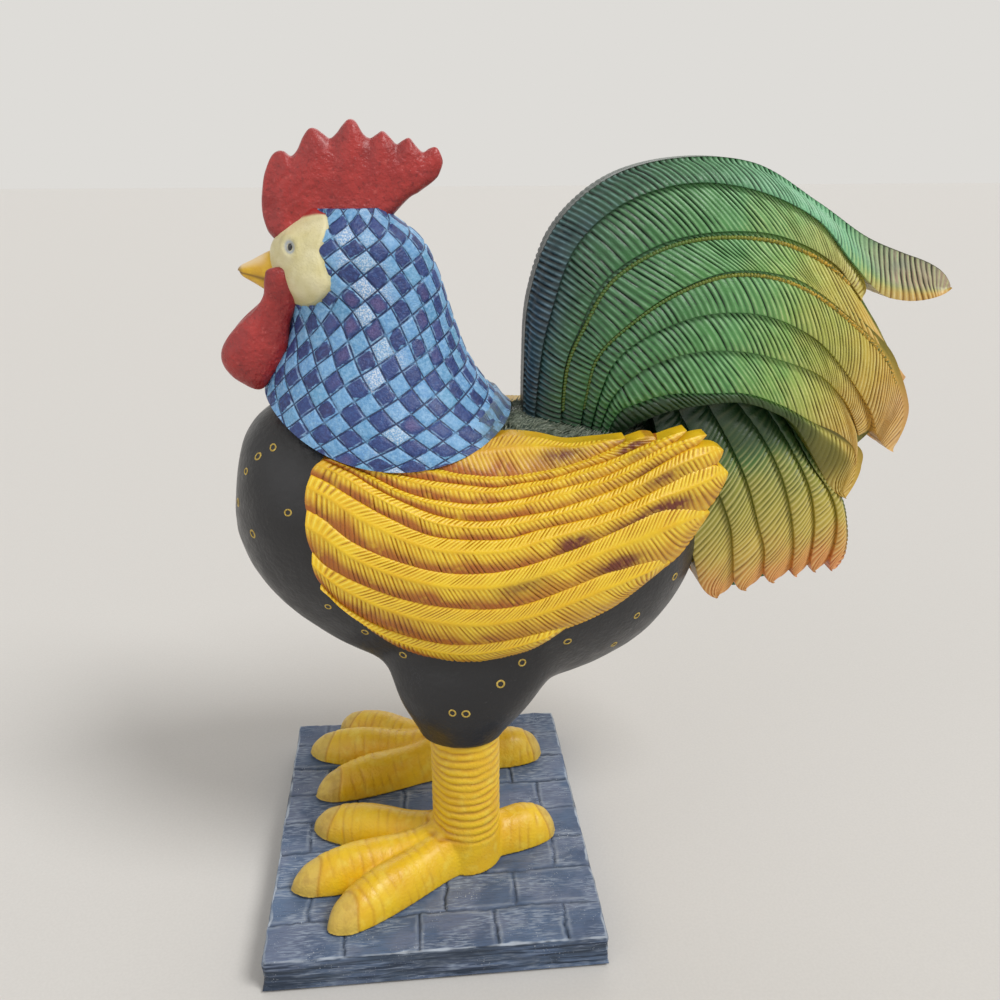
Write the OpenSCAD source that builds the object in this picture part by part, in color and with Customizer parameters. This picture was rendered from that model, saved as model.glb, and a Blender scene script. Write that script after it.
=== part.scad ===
// Painted cast rooster standing on a slab base.
// The bird faces -X and its left side is towards -Y. +Z is up. The origin is the middle of the
// base's underside.

/* [Base] */
// Length of the base, along the bird
base_length = 176; // [172:1:260]
// Depth of the base, across the bird
base_depth = 200; // [196:1:260]
// Thickness of the cast slab
base_thick = 18.5; // [14:0.5:40]
// Bevel round the slab's top edge
base_bevel = 1.5; // [0.5:0.5:4]
// Thickness of the felt pad under the slab
felt_thick = 1.5; // [0.5:0.5:4]
// Distance from the slab's edge to the felt's edge
felt_inset = 3; // [0:0.5:15]

/* [Legs] */
// Distance of the legs behind the middle of the base
leg_x = 19; // [14:1:30]
// Distance between the two leg axes
leg_gap = 80; // [74:1:86]
// Sideways offset of the bird's middle from the middle of the base
bird_y = 8; // [0:1:8]
// Height of the yellow leg, from the slab to the thigh
leg_height = 84; // [76:1:110]
// Diameter of the shank
shank_d = 37.5; // [32:0.5:42]
// Depth of the wrinkles round the shank
wrinkle_depth = 0.8; // [0.3:0.1:1.2]
// Number of wrinkles round the shank
wrinkle_count = 12; // [6:1:16]
// Height at which the shank spreads into the foot
ankle_height = 30; // [24:1:34]
// Diameter of the foot's middle where the toes join
ankle_d = 43; // [42:1:50]
// Length of the middle front toe, from the leg's axis
toe_length = 99; // [88:1:100]
// Length of the back toe, from the leg's axis
back_toe_length = 55; // [46:1:62]
// Width of a toe
toe_width = 26; // [20:0.5:28]
// Height of a toe
toe_height = 21; // [15:0.5:23]
// Diameter of the steel rod inside each leg
rod_d = 8; // [6:0.5:12]

/* [Body] */
// Length of the body, breast to rump
body_length = 246; // [230:1:260]
// Height of the body, belly to back
body_height = 172; // [164:1:182]
// Width of the body without its wings
body_width = 136; // [130:1:142]
// Wall of the hollow body
body_wall = 7; // [5:0.5:10]
// Distance from the bottom of the thighs up to the belly
belly_lift = 10; // [6:1:14]
// Diameter of a thigh where it meets the belly
thigh_d = 68; // [60:1:72]

/* [Neck and head] */
// Height of the neck cape, from its hem to the crown
cape_height = 120; // [112:1:128]
// Length of the cape at its foot, breast to back
cape_length = 158; // [150:1:164]
// Width of the cape at its foot
cape_width = 116; // [110:1:122]
// Wall of the hollow neck
cape_wall = 8; // [6:0.5:10]
// Diameter of the neck's tenon
neck_tenon_d = 46; // [40:1:52]
// Radius of the round face patch
face_radius = 27; // [24:0.5:29]
// Length of the beak in front of the face
beak_length = 17; // [12:0.5:24]
// Height of the beak at its root
beak_height = 17; // [13:0.5:20]
// Length of the comb
comb_length = 84; // [76:1:90]
// Height of the comb above its lowest point
comb_height = 50; // [42:1:60]
// Thickness of the comb
comb_thick = 16; // [12:0.5:20]
// Length of a wattle, top to bottom
wattle_length = 59; // [50:1:64]
// Width of a wattle at its widest
wattle_width = 31; // [26:0.5:36]
// Thickness of a wattle
wattle_thick = 17; // [13:0.5:18]

/* [Wings] */
// Length of a wing, shoulder to tip
wing_length = 204; // [192:1:210]
// Height of a wing
wing_height = 116; // [106:1:122]
// How far a wing stands out from the body
wing_rise = 7; // [5:0.5:10]
// Depth of the step between two wing feathers
wing_step = 1.6; // [0.6:0.2:2.4]
// Diameter of the pegs that hold a wing
wing_peg_d = 8; // [5:0.5:10]

/* [Tail] */
// Length of the tail, front edge to sickle tip
tail_length = 222; // [206:1:236]
// Height of the tail above its root
tail_height = 123; // [114:1:134]
// Thickness of the tail at its root
tail_thick = 60; // [52:1:66]
// Thickness of the plate between the two halves of the tail
core_thick = 8; // [5:0.5:12]
// Depth of the step between two tail feathers
tail_step = 2.4; // [1:0.2:3.2]
// Length that the lower feathers hang below the tail's root
covert_drop = 108; // [96:1:116]
// Diameter of the tail's tenon
tail_tenon_d = 26; // [20:1:30]

/* [Hidden] */

// Clearance round a peg, rod or tenon
fit_gap = 0.2;
// Clearance between two glued castings
glue_gap = 0.1;
// How far a cut runs past what it cuts
overrun = 1;

// Heights of the slab's top and of the thighs' undersides
base_top = felt_thick + base_thick;
thigh_z = base_top + leg_height;

// Curves and lofts
function pick(a, i) = a[max(0, min(len(a) - 1, i))];
function smooth(a, t) =
    let (n = len(a) - 1, k = max(0, min(n - 1, floor(t * n))), f = t * n - k,
         p0 = pick(a, k - 1), p1 = a[k], p2 = a[k + 1], p3 = pick(a, k + 2))
    p1 + (p2 - p0) * f / 2 + (p0 * 2 - p1 * 5 + p2 * 4 - p3) * f * f / 2
       + (p1 * 3 - p0 - p2 * 3 + p3) * f * f * f / 2;
function middle(ring) = [for (k = [0:2]) [for (p = ring) p[k]] * [for (p = ring) 1] / len(ring)];

// A closed solid through a row of rings, which run anticlockwise seen from where the row goes
module loft(rings) {
    n = len(rings[0]);
    m = len(rings);
    points = concat([for (r = rings) each r], [middle(rings[0]), middle(rings[m - 1])]);
    sides = [for (j = [0:m - 2], i = [0:n - 1], k = [0:1])
        let (a = j * n + i, b = j * n + (i + 1) % n)
        k == 0 ? [a, b + n, b] : [a, a + n, b + n]];
    caps = [for (i = [0:n - 1], k = [0:1])
        let (a = i, b = (i + 1) % n, c = (m - 1) * n)
        k == 0 ? [m * n, a, b] : [m * n + 1, c + b, c + a]];
    polyhedron(points, concat(sides, caps));
}

// Makes a left-hand piece from a right-hand one
module handed(side) {
    if (side < 0) mirror([0, 1, 0]) children();
    else children();
}

// Base
module slab() {
    width = [base_length, base_depth];
    top_share = [for (w = width) (w - 2 * base_bevel) / w];
    translate([0, 0, felt_thick]) {
        linear_extrude(base_thick - base_bevel) square(width, center = true);
        translate([0, 0, base_thick - base_bevel])
            linear_extrude(base_bevel, scale = top_share) square(width, center = true);
    }
}

module base_block() {
    color("slategray") difference() {
        slab();
        for (side = [-1, 1]) leg_rod(side, fit_gap);
    }
}

module base_felt() {
    color("darkolivegreen") linear_extrude(felt_thick)
        square([base_length - 2 * felt_inset, base_depth - 2 * felt_inset], center = true);
}

// Rods: each stands in the slab and reaches up through its leg into the thigh
rod_base_share = 0.75;
rod_thigh_share = 0.35;
module leg_rod(side, gap = 0) {
    low = base_top - rod_base_share * base_thick;
    high = thigh_z + rod_thigh_share * body_height;
    translate([leg_x, bird_y + side * leg_gap / 2, low])
        cylinder(d = rod_d + 2 * gap, h = high - low, $fn = 48);
}
module left_leg_rod() { color("silver") leg_rod(-1); }
module right_leg_rod() { color("silver") leg_rod(1); }

// Legs. Angles of the inner, middle and outer toe and of the back toe, outwards from dead ahead
left_toe_angles = [-18, 12, 35];
right_toe_angles = [-16, 12, 31];
toe_reach_shares = [0.94, 1, 0.92];
left_back_angle = 197;
right_back_angle = 173;
toe_width_shares = [0.85, 1, 0.95, 0.97, 1, 1, 0.97, 0.82, 0.3];
toe_height_shares = [1.6, 1.35, 1.06, 0.95, 0.97, 0.98, 0.9, 0.68, 0.22];
toe_rings = 12;
toe_sides = 8;
module toe(reach, turn) {
    rotate(180 + turn) loft([for (j = [0:toe_rings])
        let (t = j / toe_rings, w = toe_width * smooth(toe_width_shares, t) / 2,
             h = toe_height * smooth(toe_height_shares, t))
        [for (i = [0:toe_sides]) let (a = 180 * i / toe_sides) [reach * t, w * cos(a), h * sin(a)]]]);
}

// The shank's outline: it spreads into the foot below the ankle, and is wrinkled above it
ankle_spread_shares = [1, 0.52, 0.2, 0.06, 0];
ankle_steps = 5;
wrinkle_steps = 2;
module shank() {
    r = shank_d / 2;
    spread = ankle_d / 2 - r;
    pitch = (leg_height - ankle_height) / wrinkle_count;
    flare = [for (j = [0:ankle_steps - 1]) let (t = j / ankle_steps)
        [r + spread * smooth(ankle_spread_shares, t), ankle_height * t]];
    wrinkles = [for (j = [0:wrinkle_count * wrinkle_steps])
        [r - (j % wrinkle_steps == 0 ? wrinkle_depth : 0), ankle_height + pitch * j / wrinkle_steps]];
    rotate_extrude($fn = 64) polygon(concat([[0, 0]], flare, wrinkles, [[0, leg_height]]));
}

module leg(side, turns, back_turn) {
    translate([leg_x, bird_y + side * leg_gap / 2, base_top]) difference() {
        union() {
            shank();
            for (i = [0:2]) toe(toe_length * toe_reach_shares[i], -side * turns[i]);
            toe(back_toe_length, -side * back_turn);
        }
        translate([0, 0, -overrun])
            cylinder(d = rod_d + 2 * fit_gap, h = leg_height + 2 * overrun, $fn = 48);
    }
}
module left_leg() { color("gold") leg(-1, left_toe_angles, left_back_angle); }
module right_leg() { color("gold") leg(1, right_toe_angles, right_back_angle); }

// Body. Shares run from breast to rump: of the height for the belly and back lines, of the
// half width for the sides
body_x = leg_x - 0.467 * body_length;
body_z = thigh_z + belly_lift;
function bx(share) = body_x + share * body_length;
function bz(share) = body_z + share * body_height;
belly_shares = [0.58, 0.41, 0.24, 0.1, 0.01, 0.03, 0.13, 0.31, 0.47];
back_shares = [0.58, 0.85, 0.96, 0.96, 0.91, 0.885, 0.84, 0.71, 0.47];
side_shares = [1, 1.12, 1.06, 1, 1, 1, 1, 1, 1];
body_end_share = 0.04;
body_rings = 26;
body_sides = 32;
cavity_rings = 14;
cavity_sides = 18;
function body_ring(t, inset, sides) =
    let (s = body_end_share + (1 - 2 * body_end_share) * t, turn = 180 * s,
         x = bx(0.5) - (body_length / 2 - inset) * cos(turn),
         low = bz(smooth(belly_shares, s)) + inset, high = bz(smooth(back_shares, s)) - inset,
         w = (body_width / 2 - inset) * sin(turn) * smooth(side_shares, s))
    [for (i = [0:sides - 1]) let (a = 360 * (i + 0.5) / sides)
        [x, w * cos(a), (low + high) / 2 + (high - low) / 2 * sin(a)]];
module body_form(inset = 0, rings = body_rings, sides = body_sides) {
    loft([for (j = [0:rings]) body_ring(j / rings, inset, sides)]);
}

// A thigh runs from the top of the shank up into the body
thigh_length_shares = [0.56, 0.87, 1.13, 1.3, 1.2, 0.95, 0.6];
thigh_width_shares = [0.56, 0.8, 0.92, 0.9, 0.8, 0.7, 0.5];
thigh_height_share = 0.55;
thigh_lean_share = 0.2;
thigh_back_share = 0.32;
thigh_rings = 10;
thigh_sides = 24;
module thigh(side) {
    loft([for (j = [0:thigh_rings])
        let (t = 1 - cos(90 * j / thigh_rings), lean = thigh_lean_share * thigh_d * t,
             back = thigh_back_share * thigh_d * t,
             u = thigh_d / 2 * smooth(thigh_length_shares, t), v = thigh_d / 2 * smooth(thigh_width_shares, t))
        [for (i = [0:thigh_sides - 1]) let (a = 360 * (i + 0.5) / thigh_sides)
            [leg_x + back + u * cos(a), side * (leg_gap / 2 - lean) + v * sin(a),
             thigh_z + thigh_height_share * body_height * t]]]);
}

module body_shell() {
    color([0.17, 0.17, 0.18]) translate([0, bird_y, 0]) difference() {
        union() {
            body_form();
            for (side = [-1, 1]) thigh(side);
        }
        body_form(body_wall, cavity_rings, cavity_sides);
        neck_tenon(fit_gap);
        tail_tenon(fit_gap);
        for (side = [-1, 1]) wing_pegs(side, fit_gap);
        translate([0, -bird_y, 0]) for (side = [-1, 1]) leg_rod(side, fit_gap);
    }
}

// Neck cape. Shares of the cape's height run from the hem to the crown
cape_z = bz(0.79);
cape_x = bx(0.02);
cape_front_shares = [0, 0.04, 0.09, 0.135, 0.185, 0.2, 0.155, 0.175, 0.29];
cape_back_shares = [1.02, 0.93, 0.82, 0.75, 0.71, 0.68, 0.65, 0.6, 0.49];
cape_side_shares = [1, 0.93, 0.8, 0.66, 0.54, 0.47, 0.45, 0.4, 0.2];
cape_rings = 24;
cape_sides = 32;
function cape_ring(t, inset, sides) =
    let (front = cape_x + cape_length * smooth(cape_front_shares, t) + inset,
         back = cape_x + cape_length * smooth(cape_back_shares, t) - inset,
         w = cape_width / 2 * smooth(cape_side_shares, t) - inset)
    [for (i = [0:sides - 1]) let (a = 360 * (i + 0.5) / sides)
        [(front + back) / 2 + (back - front) / 2 * cos(a), w * sin(a), cape_z + cape_height * t]];
module cape_form(rings = cape_rings, sides = cape_sides) {
    loft([for (j = [0:rings]) cape_ring(j / rings, 0, sides)]);
}

// The cape's hem is a wide hollow cut, so that it hangs lower at the sides
hem_radius = 97;
hem_x = bx(0.362);
hem_z = cape_z + 0.86 * cape_height;
module hem_cut(inset = 0) {
    translate([hem_x, cape_width, hem_z]) rotate([90, 0, 0])
        cylinder(r = hem_radius - inset, h = 2 * cape_width, $fn = 96);
}

// The hollow's lowest and highest place in the cape, and its wall, which the coarse ring thins again
neck_cavity_shares = [0.12, 0.72];
neck_wall_share = 1.6;
neck_cavity_rings = 8;
neck_cavity_sides = 14;
module neck_cavity() {
    low = neck_cavity_shares[0];
    high = neck_cavity_shares[1];
    loft([for (j = [0:neck_cavity_rings])
        cape_ring(low + (high - low) * j / neck_cavity_rings, neck_wall_share * cape_wall, neck_cavity_sides)]);
}

neck_tenon_x = bx(0.36);
neck_tenon_share = 0.3;
module neck_tenon(gap = 0) {
    translate([neck_tenon_x, 0, bz(1) - neck_tenon_share * neck_tenon_d])
        cylinder(d = neck_tenon_d + 2 * gap, h = neck_tenon_d, $fn = 64);
}

face_x = bx(0.125);
face_z = cape_z + 0.84 * cape_height;
module face_zone(gap = 0) {
    translate([face_x, cape_width / 2, face_z]) rotate([90, 0, 0])
        cylinder(r = face_radius + gap, h = cape_width, $fn = 72);
}

module neck_cape() {
    color("cornflowerblue") translate([0, bird_y, 0]) difference() {
        union() {
            difference() {
                intersection() {
                    cape_form();
                    hem_cut();
                }
                body_form();
            }
            neck_tenon();
        }
        face_zone();
        neck_cavity();
        translate([neck_tenon_x, 0, bz(0)])
            cylinder(d = neck_tenon_d - 2 * body_wall, h = body_height, $fn = 48);
        face_tenon(fit_gap);
        comb_tab(fit_gap);
    }
}

// Face, with a cheek bulge on each side
cheek_d = 28;
cheek_x = bx(0.195);
cheek_z = cape_z + 0.7 * cape_height;
cheek_y = 0.1 * cape_width;
face_tenon_d = 20;
face_tenon_length = 14;
module face_tenon(gap = 0) {
    translate([face_x + face_radius / 2, 0, face_z]) rotate([0, 90, 0])
        cylinder(d = face_tenon_d + 2 * gap, h = face_radius / 2 + face_tenon_length + gap, $fn = 48);
}
module cheeks() {
    for (side = [-1, 1])
        translate([cheek_x, side * cheek_y, cheek_z]) sphere(d = cheek_d, $fn = 40);
}
module face() {
    color("khaki") translate([0, bird_y, 0]) {
        difference() {
            union() {
                intersection() {
                    union() {
                        cape_form();
                        cheeks();
                    }
                    face_zone();
                }
                face_tenon();
            }
            beak_peg(fit_gap);
        }
    }
}

// Beak: a blunt cone that leans slightly down
beak_z = cape_z + 0.74 * cape_height;
beak_root_x = cape_x + 0.165 * cape_length;
beak_root_depth = 8;
beak_width_share = 0.85;
beak_shares = [1.05, 1, 0.86, 0.68, 0.46, 0.2];
beak_lift_shares = [0, 0, 0.02, 0.04, 0.05, 0.05];
beak_rings = 8;
beak_sides = 14;
module beak_form() {
    reach = beak_length + beak_root_depth;
    loft([for (j = [0:beak_rings])
        let (t = j / beak_rings, h = beak_height / 2 * smooth(beak_shares, t))
        [for (i = [0:beak_sides - 1]) let (a = 360 * (i + 0.5) / beak_sides)
            [beak_root_x + beak_root_depth - reach * t, -h * beak_width_share * cos(a),
             beak_z + beak_height * smooth(beak_lift_shares, t) + h * sin(a)]]]);
}
beak_peg_d = 6;
beak_peg_length = 12;
module beak_peg(gap = 0) {
    translate([beak_root_x, 0, beak_z]) rotate([0, 90, 0])
        cylinder(d = beak_peg_d + 2 * gap, h = beak_peg_length + gap, $fn = 32);
}
module beak() {
    color("goldenrod") translate([0, bird_y, 0]) {
        difference() {
            beak_form();
            cape_form();
        }
        beak_peg();
    }
}

// Comb. Shares run from its front to its back, of its height
comb_x = bx(0.11);
comb_z = cape_z + 0.885 * cape_height;
comb_top_shares = [0.28, 0.52, 0.68, 0.73, 0.73, 0.69, 0.74, 0.85, 0.92, 0.92, 0.88, 0.84, 0.88, 0.95, 1,
    0.98, 0.88, 0.84, 0.87, 0.9, 0.85, 0.79, 0.82, 0.84, 0.77, 0.72, 0.75, 0.76, 0.68];
comb_low_shares = [0.24, 0.1, 0, -0.06, -0.08, -0.06, 0, 0, 0, 0, 0, 0, 0, 0, 0,
    0, 0, 0, 0.05, 0.1, 0.16, 0.22, 0.28, 0.33, 0.36, 0.4, 0.44, 0.5, 0.62];
comb_side_shares = [0.5, 0.9, 1, 1, 1, 0.95, 0.85, 0.7, 0.3];
comb_rings = 42;
comb_sides = 12;
module comb_form() {
    loft([for (j = [0:comb_rings])
        let (t = j / comb_rings, high = comb_z + comb_height * smooth(comb_top_shares, t),
             low = comb_z + comb_height * smooth(comb_low_shares, t),
             w = comb_thick / 2 * smooth(comb_side_shares, t))
        [for (i = [0:comb_sides - 1]) let (a = 360 * (i + 0.5) / comb_sides)
            [comb_x + comb_length * t, w * cos(a), (low + high) / 2 + (high - low) / 2 * sin(a)]]]);
}
comb_tab_x = bx(0.238);
comb_tab_length = 28;
comb_tab_thick = 6;
comb_tab_depth = 8;
module comb_tab(gap = 0) {
    translate([comb_tab_x - gap, -comb_tab_thick / 2 - gap, cape_z + cape_height - comb_tab_depth - gap])
        cube([comb_tab_length + 2 * gap, comb_tab_thick + 2 * gap, 2 * comb_tab_depth]);
}
module comb() {
    color("firebrick") translate([0, bird_y, 0]) {
        difference() {
            comb_form();
            cape_form();
        }
        comb_tab();
    }
}

// Wattles. Shares run from the bottom up, of the width
wattle_x = bx(0.077);
wattle_z = cape_z + 0.285 * cape_height;
wattle_gap = 0.8;
wattle_width_shares = [0.2, 0.61, 0.9, 1, 0.9, 0.71, 0.52, 0.39, 0.35, 0.16];
wattle_shift_shares = [0, -0.06, -0.05, 0, 0.06, 0.16, 0.31, 0.4, 0.42, 0.35];
wattle_thick_shares = [0.3, 0.7, 0.95, 1, 0.9, 0.75, 0.62, 0.52, 0.45, 0.25];
wattle_rings = 16;
wattle_sides = 14;
module wattle(side) {
    difference() {
        loft([for (j = [0:wattle_rings])
            let (t = j / wattle_rings, w = wattle_width / 2 * smooth(wattle_width_shares, t),
                 h = wattle_thick / 2 * smooth(wattle_thick_shares, t))
            [for (i = [0:wattle_sides - 1]) let (a = 360 * (i + 0.5) / wattle_sides)
                [wattle_x + wattle_width * smooth(wattle_shift_shares, t) + w * cos(a),
                 side * (wattle_thick + wattle_gap) / 2 + h * sin(a), wattle_z + wattle_length * t]]]);
        cape_form();
        cheeks();
        beak_form();
    }
}
module left_wattle() { color("firebrick") translate([0, bird_y, 0]) wattle(-1); }
module right_wattle() { color("firebrick") translate([0, bird_y, 0]) wattle(1); }

// Wings. Shares run from shoulder to tip, of the wing's height. Stations crowd at both ends
wing_x = bx(0.175);
wing_z = bz(0.26);
wing_low_shares = [0.59, 0.36, 0.17, 0.03, 0.05, 0.2, 0.41, 0.58, 0.69];
wing_top_shares = [0.67, 0.88, 0.95, 0.93, 0.89, 0.89, 0.92, 0.87, 0.76];
wing_depth_shares = [1, 1, 1, 1, 1, 0.9, 0.65, 0.45, 0.35];
wing_depth = 22;
wing_middle_share = 0.41;
wing_crest_shares = [0.45, 0.41, 0.35, 0.35, 0.47, 0.6];
wing_bow_share = 1.08;
wing_round_share = 0.66;
wing_end_share = 0.03;
wing_rings = 20;
wing_overlap_share = 0.15;
// Lines along which two feathers meet, from the lowest up. Each runs past the wing's outline
// where its feathers begin and end inside it
wing_line_shares = [
    [0.46, 0.356, 0.197, 0.106, 0.145, 0.16, 0.16, 0.16, 0.16],
    [0.554, 0.472, 0.376, 0.304, 0.313, 0.42, 0.33, 0.3, 0.3],
    [0.718, 0.658, 0.541, 0.46, 0.477, 0.575, 0.69, 0.6, 0.55],
    [0.873, 0.826, 0.7, 0.594, 0.597, 0.66, 0.758, 0.865, 0.9],
    [0.95, 0.9, 0.796, 0.671, 0.665, 0.738, 0.847, 0.95, 1],
    [1, 0.97, 0.822, 0.725, 0.72, 0.791, 0.916, 1, 1],
    [1, 1, 0.869, 0.785, 0.77, 0.837, 0.97, 1, 1],
    [1, 1, 0.93, 0.824, 0.8, 0.867, 1, 1, 1]];
// Least height that a feather keeps where its line runs past the outline, and the height from
// which its step is full
wing_sliver = 0.6;
wing_full_row = 6;
function wing_y(x, z) =
    let (u = (x - wing_x) / wing_length, a = u - wing_middle_share,
         b = ((z - wing_z) / wing_height - smooth(wing_crest_shares, u)) / wing_round_share)
    (body_width / 2 + wing_rise) * (1 - wing_bow_share * a * a) * sqrt(1 - b * b);
function wing_ring(t) =
    let (s = wing_end_share + (1 - 2 * wing_end_share) * t, x = wing_x + wing_length * (1 - cos(180 * s)) / 2,
         low = wing_z + wing_height * smooth(wing_low_shares, s),
         high = wing_z + wing_height * smooth(wing_top_shares, s),
         depth = wing_depth * smooth(wing_depth_shares, s), last = len(wing_line_shares),
         lines = [for (k = [0:last - 1])
             min(max(wing_z + wing_height * smooth(wing_line_shares[k], s), low + wing_sliver * (k + 1)),
                 high - wing_sliver * (last - k))],
         edges = concat([low], lines, [high]))
    concat(
        [for (k = [0:last], e = [0, 1])
            let (row = edges[k + 1] - edges[k], step = wing_step * min(1, row / wing_full_row),
                 z = e == 1 ? edges[k + 1] : edges[k] + (k == 0 ? 0 : wing_overlap_share * row))
            [x, wing_y(x, z) - (1 - e) * step, z]],
        [[x, wing_y(x, high) - depth, high],
         [x, wing_y(x, (low + high) / 2) - depth, (low + high) / 2], [x, wing_y(x, low) - depth, low]]);
wing_peg_shares = [0.3, 0.62];
wing_peg_z_share = 0.5;
wing_peg_length = 12;
module wing_pegs(side, gap = 0) {
    for (share = wing_peg_shares) {
        x = wing_x + share * wing_length;
        z = wing_z + wing_peg_z_share * wing_height;
        start = body_width / 2 - wing_peg_length;
        translate([x, side * (start - gap), z]) rotate([-side * 90, 0, 0])
            cylinder(d = wing_peg_d + 2 * gap, h = wing_peg_length + gap, $fn = 32);
    }
}
module wing(side) {
    difference() {
        handed(side) loft([for (j = [0:wing_rings]) wing_ring(j / wing_rings)]);
        body_form();
        hem_cut(-glue_gap);
    }
    wing_pegs(side);
}
module left_wing() { color("gold") translate([0, bird_y, 0]) wing(-1); }
module right_wing() { color("gold") translate([0, bird_y, 0]) wing(1); }

// Tail. Each row is a line along which two feathers meet, from root to tip: shares of the tail's
// length and of its height above the root
tail_x = bx(0.606);
tail_z = bz(0.895);
tail_row_shares = [
    [[0, -0.12], [0, 0.19], [0.01, 0.47], [0.06, 0.73], [0.17, 0.91], [0.32, 0.985], [0.49, 0.965], [0.64, 0.82],
        [0.755, 0.69], [0.85, 0.62], [0.93, 0.57]],
    [[0.02, -0.12], [0.03, 0.2], [0.05, 0.41], [0.1, 0.67], [0.2, 0.83], [0.34, 0.9], [0.49, 0.87], [0.63, 0.76],
        [0.72, 0.61], [0.8, 0.47], [0.9, 0.45]],
    [[0.08, -0.12], [0.08, 0.19], [0.11, 0.37], [0.16, 0.55], [0.26, 0.67], [0.37, 0.72], [0.5, 0.72],
        [0.6, 0.67], [0.68, 0.59], [0.72, 0.52], [0.75, 0.46]],
    [[0.12, -0.12], [0.13, 0.12], [0.15, 0.27], [0.22, 0.4], [0.31, 0.51], [0.42, 0.58], [0.53, 0.57],
        [0.63, 0.5], [0.73, 0.38], [0.84, 0.2], [0.895, -0.02]],
    [[0.14, -0.12], [0.16, 0.11], [0.19, 0.25], [0.26, 0.35], [0.37, 0.42], [0.49, 0.42], [0.59, 0.36],
        [0.68, 0.25], [0.75, 0.13], [0.8, 0], [0.83, -0.12]],
    [[0.16, -0.12], [0.18, 0.07], [0.22, 0.17], [0.28, 0.24], [0.37, 0.28], [0.48, 0.27], [0.58, 0.22],
        [0.66, 0.16], [0.72, 0.07], [0.76, -0.02], [0.79, -0.13]],
    [[0.17, -0.14], [0.2, 0.02], [0.24, 0.07], [0.31, 0.11], [0.4, 0.11], [0.49, 0.1], [0.58, 0.04],
        [0.66, -0.04], [0.73, -0.1], [0.78, -0.18], [0.795, -0.28]],
    [[0.19, -0.16], [0.23, -0.05], [0.27, 0], [0.33, 0.04], [0.41, 0.06], [0.48, 0.06], [0.55, 0.02],
        [0.62, -0.06], [0.67, -0.17], [0.7, -0.26], [0.72, -0.33]]];
tail_tip_shares = [[0.955, 0.52], [0.76, 0.44], [0.885, 0.16], [0.895, -0.19], [0.79, -0.12], [0.79, -0.24],
    [0.79, -0.41]];
// Height of each row above the tail's middle, and how it thins towards the tips
tail_rise_shares = [0.3, 0.6, 0.78, 0.9, 0.96, 0.98, 0.96, 0.9];
tail_taper_shares = [0.62, 0.88, 0.97, 0.9, 0.8, 0.66, 0.5];
tail_size = [tail_length, tail_height];

// Lower feathers. Each row runs down from the tail: shares of its length and of the drop
covert_row_shares = [
    [[0.28, -0.06], [0.32, 0.25], [0.36, 0.48], [0.4, 0.69], [0.44, 0.88], [0.48, 0.98]],
    [[0.33, -0.09], [0.4, 0.18], [0.45, 0.38], [0.49, 0.57], [0.51, 0.76], [0.52, 0.94]],
    [[0.4, -0.1], [0.47, 0.14], [0.52, 0.34], [0.56, 0.56], [0.59, 0.73], [0.6, 0.92]],
    [[0.47, -0.09], [0.55, 0.12], [0.61, 0.34], [0.65, 0.57], [0.67, 0.76], [0.67, 0.9]],
    [[0.54, -0.07], [0.62, 0.17], [0.68, 0.38], [0.71, 0.57], [0.72, 0.74], [0.72, 0.88]],
    [[0.6, 0], [0.68, 0.27], [0.74, 0.43], [0.77, 0.57], [0.78, 0.73], [0.77, 0.87]],
    [[0.65, 0.12], [0.72, 0.32], [0.78, 0.47], [0.81, 0.64], [0.82, 0.78], [0.81, 0.89]]];
covert_tip_shares = [[0.5, 1], [0.57, 0.99], [0.64, 0.96], [0.69, 0.92], [0.74, 0.89], [0.79, 0.9]];
covert_rise_shares = [0.85, 0.8, 0.72, 0.64, 0.56, 0.48, 0.4];
covert_taper_shares = [0.6, 0.9, 1, 0.95, 0.8, 0.6];
covert_size = [tail_length, -covert_drop];

feather_rings = 14;
feather_tuck_share = 0.16;
feather_tip_share = 0.22;
feather_crown = 0.8;
// How far a feather's edge has closed in on its tip, at a share of its length
function closing(t) =
    let (f = max(0, (t - 1 + feather_tip_share) / feather_tip_share)) (1 - feather_tuck_share) * (1 - sqrt(1 - f * f));
module feather(tucked_row, free_row, tip, tucked_rise, free_rise, taper, size) {
    loft([for (j = [0:feather_rings])
        let (t = j / feather_rings, c = closing(t), thin = tail_thick / 2 * smooth(taper, t),
             a = smooth(tucked_row, t), b = smooth(free_row, t),
             tucked = [for (k = [0, 1]) size[k] * (a[k] + (a[k] - b[k]) * feather_tuck_share * (1 - t) * (1 - c)
                 + (tip[k] - a[k]) * c)],
             free = [for (k = [0, 1]) size[k] * (b[k] + (tip[k] - b[k]) * c)],
             centre = (tucked + free) / 2,
             low = core_thick / 2, high = max(low + tail_step, thin * tucked_rise - tail_step),
             top = max(low + 2 * tail_step, thin * free_rise))
        [for (p = [[free, low], [free, top], [centre, (high + top) / 2 + feather_crown], [tucked, high], [tucked, low]])
            [tail_x + p[0][0], p[1], tail_z + p[0][1]]]]);
}
module feather_fan(rows, tips, rises, taper, size) {
    for (i = [0:len(tips) - 1])
        feather(rows[i], rows[i + 1], tips[i], rises[i], rises[i + 1], taper, size);
}
module lowest_tail_feather() {
    feather(tail_row_shares[6], tail_row_shares[7], tail_tip_shares[6], tail_rise_shares[6], tail_rise_shares[7],
        tail_taper_shares, tail_size);
}
module tail_fan(side) {
    difference() {
        handed(side)
            feather_fan(tail_row_shares, tail_tip_shares, tail_rise_shares, tail_taper_shares, tail_size);
        body_form();
        tail_tenon(glue_gap);
    }
}
module tail_coverts(side) {
    difference() {
        handed(side) feather_fan([for (i = [6:-1:0]) covert_row_shares[i]], [for (i = [5:-1:0]) covert_tip_shares[i]],
            [for (i = [6:-1:0]) covert_rise_shares[i]], covert_taper_shares, covert_size);
        body_form();
        handed(side) lowest_tail_feather();
    }
}
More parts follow.
